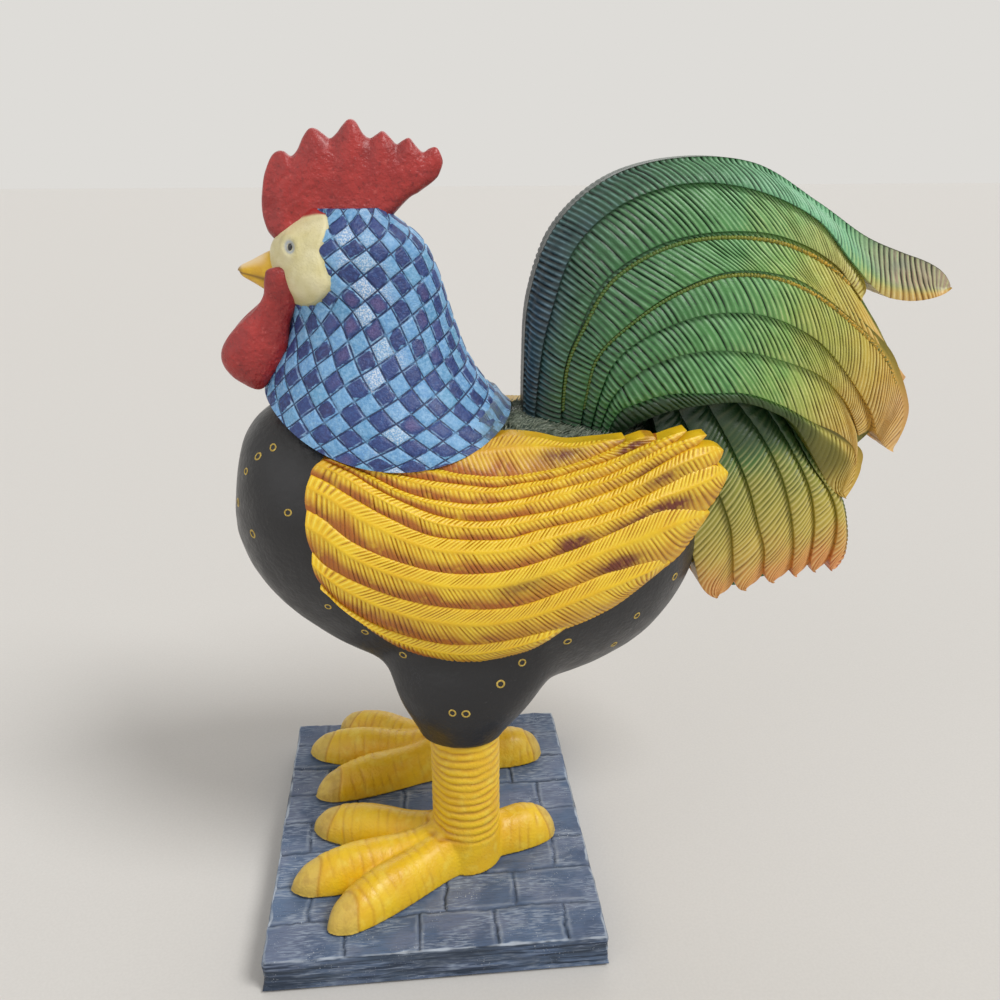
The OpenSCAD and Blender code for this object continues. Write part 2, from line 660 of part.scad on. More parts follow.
module left_tail_fan() { color("seagreen") translate([0, bird_y, 0]) tail_fan(-1); }
module right_tail_fan() { color("seagreen") translate([0, bird_y, 0]) tail_fan(1); }
module left_tail_coverts() { color("yellowgreen") translate([0, bird_y, 0]) tail_coverts(-1); }
module right_tail_coverts() { color("yellowgreen") translate([0, bird_y, 0]) tail_coverts(1); }

// The plate in the middle of the tail, a little inside the feathers' outline
core_edge_shares = [[0.03, -0.3], [0.02, 0.2], [0.03, 0.47], [0.08, 0.71], [0.18, 0.89], [0.32, 0.97], [0.49, 0.95],
    [0.64, 0.79], [0.77, 0.62], [0.88, 0.55], [0.96, 0.53], [0.87, 0.5], [0.76, 0.5], [0.83, 0.3], [0.86, 0.18],
    [0.85, -0.1], [0.77, -0.28], [0.77, -0.55], [0.79, -0.72], [0.7, -0.78], [0.6, -0.82], [0.52, -0.84],
    [0.4, -0.6]];
core_points = 5;
module tail_plate() {
    n = len(core_edge_shares);
    ring = concat(core_edge_shares, [core_edge_shares[0]]);
    translate([0, core_thick / 2, 0]) rotate([90, 0, 0]) linear_extrude(core_thick)
        polygon([for (j = [0:n * core_points - 1]) let (p = smooth(ring, j / (n * core_points)))
            [tail_x + tail_length * p[0], tail_z + tail_height * p[1]]]);
}
tail_tenon_x = bx(0.78);
tail_tenon_lean = -25;
tail_tenon_length = 44;
tail_tenon_share = 0.35;
module tail_tenon(gap = 0) {
    translate([tail_tenon_x, 0, tail_z]) rotate([0, tail_tenon_lean + 180, 0])
        translate([0, 0, -tail_tenon_share * tail_tenon_length - gap])
            cylinder(d = tail_tenon_d + 2 * gap, h = tail_tenon_length + 2 * gap, $fn = 48);
}
module tail_core() {
    color("darkslategray") translate([0, bird_y, 0]) {
        difference() {
            tail_plate();
            body_form();
        }
        tail_tenon();
    }
}

base_block();
base_felt();
left_leg();
right_leg();
left_leg_rod();
right_leg_rod();
body_shell();
left_wing();
right_wing();
neck_cape();
face();
beak();
comb();
left_wattle();
right_wattle();
tail_core();
left_tail_fan();
right_tail_fan();
left_tail_coverts();
right_tail_coverts();
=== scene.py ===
import math

import bpy
import numpy as np
from mathutils import Euler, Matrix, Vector


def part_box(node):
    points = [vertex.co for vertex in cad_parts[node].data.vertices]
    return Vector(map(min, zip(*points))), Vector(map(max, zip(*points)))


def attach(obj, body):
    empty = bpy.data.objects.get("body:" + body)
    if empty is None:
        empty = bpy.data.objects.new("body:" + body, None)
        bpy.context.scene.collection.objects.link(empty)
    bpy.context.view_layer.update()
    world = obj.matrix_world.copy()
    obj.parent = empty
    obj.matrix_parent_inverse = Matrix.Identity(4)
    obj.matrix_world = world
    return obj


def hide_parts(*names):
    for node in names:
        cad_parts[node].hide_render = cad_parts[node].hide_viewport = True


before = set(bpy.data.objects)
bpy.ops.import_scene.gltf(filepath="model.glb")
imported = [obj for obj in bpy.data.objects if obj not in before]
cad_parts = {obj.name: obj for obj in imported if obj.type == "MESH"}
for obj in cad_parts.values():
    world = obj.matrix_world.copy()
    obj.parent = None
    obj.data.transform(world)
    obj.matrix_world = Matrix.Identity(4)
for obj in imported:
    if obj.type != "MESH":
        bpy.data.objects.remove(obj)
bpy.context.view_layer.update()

bl_info = {
    "name": "Painted rooster",
    "version": (1, 0, 0),
    "blender": (4, 5, 0),
    "location": "3D View > Sidebar > Rooster",
    "description": "A painted cast rooster on a brick slab, dressed on its packed frame",
    "category": "Object",
}

# Sizes below are in mm, as in the CAD source. The bird faces -X and stands on +Z up.
MM = 0.001
BASE_LOW, BASE_HIGH = (np.array(corner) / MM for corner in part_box("base_block"))
BIRD_Y = 8.0
LEG_X, LEG_GAP, LEG_HEIGHT = 19.0, 80.0, 84.0
BASE_TOP = 20.0
THIGH_Z = BASE_TOP + LEG_HEIGHT
BODY_LENGTH, BODY_HEIGHT, BODY_WIDTH = 246.0, 172.0, 136.0
BODY_X, BODY_Z = LEG_X - 0.467 * BODY_LENGTH, THIGH_Z + 10
CAPE_LENGTH, CAPE_WIDTH, CAPE_HEIGHT = 158.0, 116.0, 120.0
CAPE_X, CAPE_Z = BODY_X + 0.02 * BODY_LENGTH, BODY_Z + 0.79 * BODY_HEIGHT
TAIL_X, TAIL_Z = BODY_X + 0.606 * BODY_LENGTH, BODY_Z + 0.895 * BODY_HEIGHT
SIDES = ((-1, "left"), (1, "right"))
# Where the photograph was taken from, how its camera was turned, in degrees, and its lens
CAMERA = (-3.2469, -456.9131, 406.1692)
CAMERA_TURN = (68.0615, 0, -5.5346)
LENS, SENSOR = 34.07, 36.0


# Curves, noise and meshes

def smooth(table, share):
    """The value of an evenly spaced table at a share, on the curve that the CAD source uses."""
    table = np.asarray(table, float)
    last = len(table) - 1
    share = np.asarray(share, float)
    index = np.clip(np.floor(share * last), 0, last - 1).astype(int)
    part = share * last - index
    if table.ndim > 1:
        part = part[..., None]
    before, start, stop, after = (table[np.clip(index + step, 0, last)] for step in (-1, 0, 1, 2))
    return (start + (stop - before) * part / 2
            + (2 * before - 5 * start + 4 * stop - after) * part**2 / 2
            + (3 * start - before - 3 * stop + after) * part**3 / 2)


def even(line, count=80):
    """A line through the given points, with points at even distances along it."""
    dense = smooth(line, np.linspace(0, 1, 6 * count))
    way = np.concatenate([[0], np.cumsum(np.linalg.norm(np.diff(dense, axis=0), axis=1))])
    at = np.linspace(0, way[-1], count)
    return np.stack([np.interp(at, way, dense[:, axis]) for axis in range(dense.shape[1])], 1)


def ease(low, high, value):
    """0 at low and beyond it, 1 at high and beyond it, with a smooth turn between them."""
    share = np.clip((np.asarray(value, float) - low) / (high - low), 0, 1)
    return share * share * (3 - 2 * share)


# Large numbers that stir the place of a grid cell into a value that looks random
PRIMES = (73856093, 19349663, 83492791)
STIRS = (1103515245, 12820163)
FIRST_BITS, ALL_BITS, HALF_OF_BITS = 0xFFFFFF, 0x7FFFFFFF, 0x3FFFFFFF


def lumps(points, size, seed=0):
    """Smooth lumps from -1 to 1, of about the given size in mm, the same on every run."""
    places = np.asarray(points, float) / size + 31.7 * seed
    cells = np.floor(places).astype(np.int64)
    parts = places - cells
    parts = parts * parts * (3 - 2 * parts)
    total = np.zeros(places.shape[:-1])
    for corner in np.ndindex(*(2,) * places.shape[-1]):
        stirred = np.zeros(places.shape[:-1], np.int64)
        weight = np.ones(places.shape[:-1])
        for axis, step in enumerate(corner):
            stirred ^= (cells[..., axis] + step) * PRIMES[axis]
            weight = weight * (parts[..., axis] if step else 1 - parts[..., axis])
        stirred = (stirred & FIRST_BITS) * STIRS[0] & ALL_BITS
        stirred = (stirred ^ (stirred >> 13)) * STIRS[1] & ALL_BITS
        total += weight * (stirred / HALF_OF_BITS - 1)
    return total


def outward(grid, middle):
    """Unit normals of a grid of points, turned away from a middle point."""
    way = np.cross(np.gradient(grid, axis=0), np.gradient(grid, axis=1))
    size = np.linalg.norm(way, axis=-1, keepdims=True)
    way = way / np.maximum(size, 1e-9)
    sign = np.sign(np.median((way * (grid - middle)).sum(-1)))
    return way * sign


class Shell:
    """Points, faces and painted values of one piece, gathered one closed patch at a time."""

    def __init__(self):
        self.points, self.quads, self.tris, self.values, self.count = [], [], [], [], 0

    def tube(self, rings, **values):
        """A closed patch through rings of points, with a point in the middle of each end."""
        rows, columns = rings.shape[:2]
        count = rows * columns
        ids = np.arange(count).reshape(rows, columns)
        near, far = ids[:-1], ids[1:]
        quads = np.stack([near, np.roll(near, -1, 1), np.roll(far, -1, 1), far], -1).reshape(-1, 4)
        ends = np.concatenate([
            np.stack([np.full(columns, count), np.roll(ids[0], -1), ids[0]], -1),
            np.stack([np.full(columns, count + 1), ids[-1], np.roll(ids[-1], -1)], -1)])
        points = np.concatenate([rings.reshape(-1, 3), [rings[0].mean(0), rings[-1].mean(0)]])
        # A patch that was built inside out has a volume below 0, and its faces are turned
        corners = points[np.concatenate([quads[:, :3], quads[:, [0, 2, 3]], ends])]
        if np.einsum("ij,ij", corners[:, 0], np.cross(corners[:, 1], corners[:, 2])) < 0:
            quads, ends = quads[:, ::-1], ends[:, ::-1]
        self.points.append(points)
        self.quads.append(quads + self.count)
        self.tris.append(ends + self.count)
        painted = {}
        for key, value in values.items():
            value = np.asarray(value, float)
            parts = value.shape[2:]
            value = np.broadcast_to(value, (rows, columns) + parts).reshape((count,) + parts)
            first, last = value[:columns].mean(0, keepdims=True), value[-columns:].mean(0, keepdims=True)
            painted[key] = np.concatenate([value, first, last])
        self.values.append(painted)
        self.count += len(points)

    def mesh(self, name):
        """All patches in one mesh, with their painted values."""
        points = np.concatenate(self.points)
        mesh = new_mesh(name, points, np.concatenate(self.quads), np.concatenate(self.tris))
        for key in self.values[0]:
            paint(mesh, key, np.concatenate([painted[key] for painted in self.values]))
        return mesh


def new_mesh(name, points, quads, tris):
    """A mesh of points in mm."""
    mesh = bpy.data.meshes.new(name)
    mesh.vertices.add(len(points))
    write_points(mesh, points)
    loops = np.concatenate([quads.ravel(), tris.ravel()]).astype(np.int32)
    sizes = np.concatenate([np.full(len(quads), 4), np.full(len(tris), 3)])
    starts = np.concatenate([[0], np.cumsum(sizes)[:-1]]).astype(np.int32)
    mesh.loops.add(len(loops))
    mesh.loops.foreach_set("vertex_index", loops)
    mesh.polygons.add(len(sizes))
    mesh.polygons.foreach_set("loop_start", starts)
    mesh.update(calc_edges=True)
    mesh.validate()
    return mesh


def paint(mesh, key, values):
    """Stores a painted value for each point, which a material reads by its name."""
    values = np.asarray(values, np.float32)
    kind, field = ("FLOAT", "value") if values.ndim == 1 else ("FLOAT_VECTOR", "vector")
    mesh.attributes.new(key, kind, "POINT").data.foreach_set(field, values.ravel())


def read_points(mesh):
    """Points in mm and their normals."""
    found = []
    for field in ("co", "normal"):
        values = np.zeros(3 * len(mesh.vertices), np.float32)
        mesh.vertices.foreach_get(field, values)
        found.append(values.reshape(-1, 3).astype(float))
    return found[0] / MM, found[1]


def write_points(mesh, points):
    """Moves the points of a mesh to places in mm."""
    mesh.vertices.foreach_set("co", (points * MM).astype(np.float32).ravel())
    mesh.update()


def applied(obj):
    """The object's mesh with its modifiers worked in. The object itself is removed."""
    bpy.context.view_layer.update()
    mesh = bpy.data.meshes.new_from_object(obj.evaluated_get(bpy.context.evaluated_depsgraph_get()))
    bpy.data.objects.remove(obj)
    return mesh


def kneaded(shell, name, voxel, passes):
    """One skin round patches that overlap, with their joints eased, as clay is worked together."""
    obj = bpy.data.objects.new(name, shell.mesh(name))
    bpy.context.scene.collection.objects.link(obj)
    skin = obj.modifiers.new("Skin", "REMESH")
    skin.mode, skin.voxel_size = "VOXEL", voxel * MM
    ease_over = obj.modifiers.new("Ease", "SMOOTH")
    ease_over.factor, ease_over.iterations = 0.5, passes
    return applied(obj)


def eased(mesh, weight, passes):
    """Smooths a mesh where weight is above 0."""
    points, _ = read_points(mesh)
    edges = np.zeros(2 * len(mesh.edges), np.int32)
    mesh.edges.foreach_get("vertices", edges)
    starts, stops = edges.reshape(-1, 2).T
    count = np.bincount(edges, minlength=len(points))[:, None]
    for _ in range(passes):
        total = np.stack([np.bincount(starts, points[stops, axis], len(points))
                          + np.bincount(stops, points[starts, axis], len(points)) for axis in range(3)], 1)
        points += 0.6 * weight[:, None] * (total / count - points)
    write_points(mesh, points)


def run_tree(tree, name, points, inputs, edges=(), **values):
    """Runs a Geometry Nodes tree on points and gives back its plain mesh."""
    mesh = bpy.data.meshes.new(name)
    mesh.from_pydata([tuple(point * MM) for point in np.asarray(points, float)], edges, [])
    for key, value in values.items():
        paint(mesh, key, value)
    obj = bpy.data.objects.new(name, mesh)
    bpy.context.scene.collection.objects.link(obj)
    modifier = obj.modifiers.new(name, "NODES")
    modifier.node_group = tree
    for item in tree.interface.items_tree:
        if item.in_out == "INPUT" and item.name in inputs:
            modifier[item.identifier] = inputs[item.name]
    return applied(obj)


def show(name, mesh, material, slot, *nodes, sharp=50):
    """Puts a finished piece on the bird: it rides on the casting and stands for its CAD nodes."""
    obj = bpy.data.objects.new(name, mesh)
    bpy.context.scene.collection.objects.link(obj)
    mesh.name = name
    mesh.materials.clear()
    mesh.materials.append(material)
    mesh.shade_smooth()
    mesh.set_sharp_from_angle(angle=math.radians(sharp))
    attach(obj, "root")
    if nodes:
        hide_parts(*nodes)
    return obj


def dress(node, material):
    """Gives a CAD node that stays its own finish."""
    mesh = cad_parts[node].data
    mesh.materials.clear()
    mesh.materials.append(material)


# Paints and other finishes

def linear(colour):
    """#RRGGBB as Blender's linear colour."""
    parts = [int(colour[start:start + 2], 16) / 255 for start in (1, 3, 5)]
    return [part / 12.92 if part <= 0.04045 else ((part + 0.055) / 1.055) ** 2.4 for part in parts] + [1]


def add(tree, kind, inputs=None, stops=None, **settings):
    """Adds one node. inputs maps a socket's name or number to a value, or to the socket linked to it.

    A colour is a hex value or four linear numbers, in inputs and in the stops of a ramp.
    """
    made = tree.nodes.new(kind)
    for key, value in settings.items():
        setattr(made, key, value)
    for key, value in (inputs or {}).items():
        if isinstance(value, bpy.types.NodeSocket):
            tree.links.new(value, made.inputs[key])
        else:
            made.inputs[key].default_value = linear(value) if str(value).startswith("#") else value
    for number, (at, colour) in enumerate(stops or []):
        element = made.color_ramp.elements[number] if number < 2 else made.color_ramp.elements.new(at)
        element.position, element.color = at, linear(colour) if isinstance(colour, str) else colour
    return made


def new_finish(name):
    """An empty finish and its tree."""
    material = bpy.data.materials.new(name)
    material.use_nodes = True
    return material, material.node_tree


def grain(tree, size, detail=3.0, stretch=(1, 1, 1), low=0.35, high=0.65):
    """Noise grains of a size in mm on the piece's own coordinates, from 0 to 1."""
    place = add(tree, "ShaderNodeTexCoord").outputs["Object"]
    turned = add(tree, "ShaderNodeMapping", {"Vector": place, "Scale": stretch})
    noise = add(tree, "ShaderNodeTexNoise", {
        "Vector": turned.outputs[0], "Scale": 1 / (size * MM), "Detail": detail})
    return add(tree, "ShaderNodeMapRange", {0: noise.outputs[0], 1: low, 2: high}).outputs[0]


def barb_wash(tree, high=0.8):
    """How much of a wash stays in the engraved barbs."""
    cut = add(tree, "ShaderNodeAttribute", attribute_name="groove").outputs["Fac"]
    return add(tree, "ShaderNodeMapRange", {0: cut, 1: 0.2, 2: high}).outputs[0]


def brushed(tree, ground, *coats):
    """Brushes coats of colour over a ground, one after the other, and gives the colour on top.

    A coat is its colour and the shares that it covers, which are multiplied. A share is a number,
    a socket or the name of a value painted on the mesh.
    """
    tone = ground
    for colour, *shares in coats:
        cover = None
        for share in shares:
            if isinstance(share, str):
                share = add(tree, "ShaderNodeAttribute", attribute_name=share).outputs["Fac"]
            if cover is not None:
                share = add(tree, "ShaderNodeMath", {0: cover, 1: share}, operation="MULTIPLY").outputs[0]
            cover = share
        tone = add(tree, "ShaderNodeMix", {0: cover, 6: tone, 7: colour}, data_type="RGBA").outputs[2]
    return tone


def finished(material, tone, rough, coat=0.0, height=None, depth=0.1):
    """Sets a finish: its colour, gloss that wears unevenly, clear coat, and relief of a depth in mm."""
    tree = material.node_tree
    surface = tree.nodes["Principled BSDF"]
    tree.links.new(tone, surface.inputs["Base Color"])
    gloss = add(tree, "ShaderNodeMapRange", {0: grain(tree, 8), 3: rough - 0.04, 4: rough + 0.08})
    tree.links.new(gloss.outputs[0], surface.inputs["Roughness"])
    surface.inputs["Coat Weight"].default_value = coat
    surface.inputs["Coat Roughness"].default_value = 0.25
    if height is not None:
        bump = add(tree, "ShaderNodeBump", {"Strength": 1.0, "Distance": depth * MM, "Height": height})
        tree.links.new(bump.outputs[0], surface.inputs["Normal"])
    return material


def slate_paint(paints):
    # Acrylic paint on cast resin, brushed dark and then dry-brushed pale along the bricks, so the
    # brush strokes and the edges are pale and dusty, and the joints stay dark
    material, tree = new_finish("dry_brushed_slate_paint")
    tone = brushed(
        tree, paints.slate,
        (paints.slate_dark, grain(tree, 30)),
        ("#707A92", grain(tree, 22, low=0.45, high=0.6), 0.7),
        (paints.slate_pale, grain(tree, 0.9, 5, (0.16, 1, 1), 0.46, 0.62),
         grain(tree, 15, 3, (0.5, 1, 1), 0.42, 0.56)),
        ("#33435C", grain(tree, 0.9, 5, (0.1, 1, 1), 0.56, 0.72), 0.5),
        ("#26344A", "side", grain(tree, 1.6, 4, (0.05, 0.05, 1), 0.5, 0.58)),
        ("#2B3746", "groove"),
        ("#B4BECA", "edge"),
        ("#C2C8CE", grain(tree, 0.8, 2, low=0.66, high=0.72), grain(tree, 12, low=0.48, high=0.62)))
    return finished(material, tone, 0.66, height=grain(tree, 1.0, 5, (0.14, 1, 1), 0.2, 0.8), depth=0.3)


def felt():
    # Needled wool felt, die-cut: a dull, fibrous face that throws back almost no gloss
    material, tree = new_finish("needled_felt")
    tone = brushed(tree, "#1E2A24", ("#2F3D35", grain(tree, 0.6, 2)))
    tree.nodes["Principled BSDF"].inputs["Sheen Weight"].default_value = 0.3
    return finished(material, tone, 0.9, height=grain(tree, 0.5), depth=0.2)


def steel():
    # Drawn mild steel rod: fine lines along the rod and a soft metal shine
    material, tree = new_finish("drawn_steel")
    tone = brushed(tree, "#A9AAAC", ("#8C8D90", grain(tree, 0.4, 2, (1, 1, 0.05))))
    tree.nodes["Principled BSDF"].inputs["Metallic"].default_value = 1.0
    return finished(material, tone, 0.32, height=grain(tree, 0.4, 2, (1, 1, 0.05)), depth=0.02)


def leg_paint(paints):
    # Yellow acrylic on cast resin with a brown wash: warm in the wrinkles, bright on the ridges,
    # and a dull cream on the claws
    material, tree = new_finish("washed_yellow_leg_paint")
    tone = brushed(
        tree, paints.leg,
        ("#E6B01C", grain(tree, 14), 0.8),
        ("#F9DE52", grain(tree, 7, 3, low=0.5, high=0.75), 0.7),
        ("#DCBC58", "claw", 0.8),
        ("#C59E44", "claw", grain(tree, 5, low=0.45, high=0.7), 0.8),
        (paints.leg_wash, "groove"))
    return finished(material, tone, 0.42, 0.15, grain(tree, 1.4), 0.12)


def body_paint(paints):
    # Charcoal acrylic with a satin varnish on hand-finished resin: broad soft lights, faint dust
    # and rubs; on the saddle the paint is scumbled green over grey with short brush strokes
    material, tree = new_finish("satin_charcoal_paint")
    tone = brushed(
        tree, paints.body,
        ("#17171A", grain(tree, 22)),
        ("#3A3A3D", grain(tree, 1.2, 2, low=0.68, high=0.8), 0.7),
        ("#45454A", grain(tree, 18, 4, (1, 1, 0.5), 0.6, 0.8), grain(tree, 1.0, low=0.5, high=0.7), 0.6),
        ("#39463A", "saddle"),
        ("#7C8576", "saddle", grain(tree, 2.2, 4, (0.3, 1, 0.6), 0.42, 0.6)))
    return finished(material, tone, 0.38, 0.1, grain(tree, 2.5), 0.1)


def ring_paint():
    # Gold hobby paint set down with a thin brush: slightly raised rings, a third of them metal flake
    material, tree = new_finish("gold_ring_paint")
    tree.nodes["Principled BSDF"].inputs["Metallic"].default_value = 0.35
    tone = brushed(tree, "#D9BE62", ("#A98B35", grain(tree, 0.8, 2)))
    return finished(material, tone, 0.38, height=grain(tree, 0.6), depth=0.05)


def tuft_paint():
    # Stiff strands combed in the wet resin of the saddle, painted moss green and rubbed grey
    material, tree = new_finish("moss_tuft_paint")
    tone = brushed(
        tree, "#3D4B3A",
        ("#7E8876", grain(tree, 3, 2)),
        ("#A3A898", grain(tree, 1.2, 2, low=0.5, high=0.7)))
    return finished(material, tone, 0.6, height=grain(tree, 0.8), depth=0.05)


def wing_paint(paints):
    # Bright yellow acrylic over engraved barbs with ochre and brown washes: the wash stays in the
    # barbs and along the lower edge of each feather, where it is partly painted shade, and pools brown
    # in a few places. Under the cape and between the feather ends the wash is painted shade alone, and
    # the pale crest of each barb is a painted highlight
    material, tree = new_finish("washed_yellow_wing_paint")
    cut = barb_wash(tree, 0.85)
    barb_wash_and_shade = brushed(tree, "#A8680F", ("#6A3510", "shade"))
    tone = brushed(
        tree, paints.wing,
        ("#EDBB14", grain(tree, 12)),
        ("#FFE75A", "edge", 0.8),
        (paints.wing_wash_and_shade, "shade", grain(tree, 6, low=0.1, high=0.45)),
        (barb_wash_and_shade, cut, 0.75),
        (paints.wing_pool, "pool", grain(tree, 3, low=0.1, high=0.5)))
    return finished(material, tone, 0.42, 0.15, grain(tree, 1.0, 2), 0.08)


def cape_paint(paints):
    # Light-blue ground with squares of navy brushed in by hand between engraved lines: squares with
    # round corners that miss the lines a little, thin dark lines and rubbed edges
    material, tree = new_finish("hand_painted_check_paint")
    place = add(tree, "ShaderNodeAttribute", attribute_name="checks").outputs["Vector"]
    wobble = add(tree, "ShaderNodeTexNoise", {"Vector": place, "Scale": 1.7, "Detail": 4.0},
                 noise_dimensions="2D")
    shift = add(tree, "ShaderNodeVectorMath", {0: wobble.outputs["Color"], 1: (0.5, 0.5, 0.5)},
                operation="SUBTRACT")
    painted = add(tree, "ShaderNodeVectorMath", {0: shift.outputs[0], 1: (0.42, 0.42, 0), 2: place},
                  operation="MULTIPLY_ADD")
    # The square that a point lies in and its distances from the middle, as painted and as cut
    cells, distances = [], []
    for field in (painted.outputs[0], place):
        cell = add(tree, "ShaderNodeVectorMath", {0: field}, operation="FLOOR").outputs[0]
        inside = add(tree, "ShaderNodeVectorMath", {0: field, 1: cell}, operation="SUBTRACT").outputs[0]
        centred = add(tree, "ShaderNodeVectorMath", {0: inside, 1: (0.5, 0.5, 0)}, operation="SUBTRACT")
        away = add(tree, "ShaderNodeVectorMath", {0: centred.outputs[0]}, operation="ABSOLUTE")
        cells.append(cell)
        distances.append(add(tree, "ShaderNodeSeparateXYZ", {0: away.outputs[0]}))
    painted_far, cut_far = distances
    whole = add(tree, "ShaderNodeSeparateXYZ", {0: cells[0]})
    total = add(tree, "ShaderNodeMath", {0: whole.outputs[0], 1: whole.outputs[1]}, operation="ADD")
    light_one = add(tree, "ShaderNodeMath", {0: total.outputs[0], 1: 2.0},
                    operation="FLOORED_MODULO").outputs[0]
    dark_one = add(tree, "ShaderNodeMath", {0: 1.0, 1: light_one}, operation="SUBTRACT").outputs[0]
    chance = add(tree, "ShaderNodeTexWhiteNoise", {"Vector": cells[0]},
                 noise_dimensions="2D").outputs["Value"]
    # The fourth powers of both distances from the middle draw a square with round corners
    powers = [add(tree, "ShaderNodeMath", {0: painted_far.outputs[axis], 1: 4.0}, operation="POWER")
              for axis in (0, 1)]
    corner = add(tree, "ShaderNodeMath", {0: powers[0].outputs[0], 1: powers[1].outputs[0]},
                 operation="ADD").outputs[0]
    reach = add(tree, "ShaderNodeMapRange", {0: chance, 3: 0.036, 4: 0.075}).outputs[0]
    inner = add(tree, "ShaderNodeMath", {0: reach, 1: 0.78}, operation="MULTIPLY").outputs[0]
    blot = add(tree, "ShaderNodeMapRange", {0: corner, 1: reach, 2: inner}).outputs[0]
    middle = add(tree, "ShaderNodeMapRange", {0: corner, 1: 0.02, 2: 0.0}).outputs[0]
    glitter = brushed(tree, "#86AEDB", ("#E6EEF8", grain(tree, 0.7, 3, low=0.46, high=0.6)))
    frosted = add(tree, "ShaderNodeMapRange", {0: chance, 1: 0.45, 2: 0.75}).outputs[0]
    picks = add(tree, "ShaderNodeValToRGB", {0: chance}, stops=[
        (0.0, "#6AA0D2"), (1.0, "#86B9E2"),
        (0.3, "#5C9AC0"), (0.5, "#78ADDA"), (0.68, "#68A9C4"), (0.84, "#6A9FD4")])
    navy = brushed(
        tree, paints.navy,
        ("#2E4480", chance),
        ("#3C5A96", grain(tree, 1.8, low=0.45, high=0.75)),
        (brushed(tree, "#54467A", ("#75679A", grain(tree, 0.8, 2))), middle, "plum", 0.8))
    # The engraved lines follow the squares as they were cut, and not as they were painted
    nearest = add(tree, "ShaderNodeMath", {0: cut_far.outputs[0], 1: cut_far.outputs[1]},
                  operation="MAXIMUM")
    rubbed = add(tree, "ShaderNodeMath", {0: nearest.outputs[0], 1: 0.4, 2: 0.035},
                 operation="COMPARE").outputs[0]
    line = add(tree, "ShaderNodeMapRange", {0: nearest.outputs[0], 1: 0.44, 2: 0.475}).outputs[0]
    line = add(tree, "ShaderNodeMath", {0: line, 1: grain(tree, 5, low=0.2, high=0.5)},
               operation="MULTIPLY").outputs[0]
    tone = brushed(
        tree, paints.cape,
        ("#5F97CC", grain(tree, 14)),
        (picks.outputs[0], 0.6),
        ("#93C1E6", grain(tree, 1.6, low=0.4, high=0.7), 0.8),
        # frost marks a band down the cape's side, where pale glitter paint is partly a painted highlight
        (glitter, "glitter_and_highlight", light_one, frosted, 0.85),
        (navy, blot, dark_one),
        ("#A9CDEE", rubbed, grain(tree, 7, low=0.5, high=0.7), 0.6),
        ("#1C2D58", line),
        ("#5E7270", "dusk", grain(tree, 2.5, low=0.2, high=0.6), 0.8))
    height = add(tree, "ShaderNodeMath", {0: grain(tree, 1.1), 1: line}, operation="SUBTRACT")
    return finished(material, tone, 0.42, 0.1, height.outputs[0], 0.2)


def face_paint(paints):
    # Cream acrylic on smooth resin, with a little green-brown painted shade under the cheek, towards the
    # face's edge and in random patches: soft and milky, with the comb's red brushed over its top
    material, tree = new_finish("cream_face_paint")
    tone = brushed(
        tree, paints.face,
        ("#DCD19A", grain(tree, 9)),
        ("#A8A26C", "shade"),
        ("#8F8A5A", grain(tree, 0.7, 2, low=0.68, high=0.8), 0.7),
        ("#A9B4C2", "eye"),
        (brushed(tree, paints.comb, ("#9C2524", grain(tree, 10))), "foot"))
    return finished(material, tone, 0.48, height=grain(tree, 1.2), depth=0.12)


def eye_paint():
    # A drop of black gloss enamel: a small dark bead with one sharp light on it
    material, tree = new_finish("black_gloss_enamel")
    return finished(material, brushed(tree, "#0C0C0E", ("#191A1F", grain(tree, 1.5))), 0.12, 0.6)


def beak_paint(paints):
    # Ochre-yellow acrylic with a pale pink top that is painted highlight, a dark line along the mouth and a
    # dark tip, with a low shine
    material, tree = new_finish("shaded_beak_paint")
    tone = brushed(
        tree, paints.beak,
        ("#DDA81E", grain(tree, 5), 0.8),
        ("#EBD0A2", "pale"),
        ("#7A5420", "shade"))
    return finished(material, tone, 0.4, 0.15, grain(tree, 1.0), 0.08)


def comb_paint(paints):
    # Brick-red satin acrylic on resin with slight lumps: broad pinkish lights, and dark red painted shade
    # in the folds, along the underside and at both ends of each wattle
    material, tree = new_finish("satin_red_comb_paint")
    tone = brushed(
        tree, paints.comb,
        ("#9C2524", grain(tree, 10)),
        ("#C8504A", grain(tree, 2.5, low=0.6, high=0.8)),
        ("#7C1D1E", grain(tree, 2.2, 4, low=0.6, high=0.72), 0.7),
        ("#6E1819", "shade"))
    return finished(material, tone, 0.36, 0.25, grain(tree, 2.6, 4), 0.4)


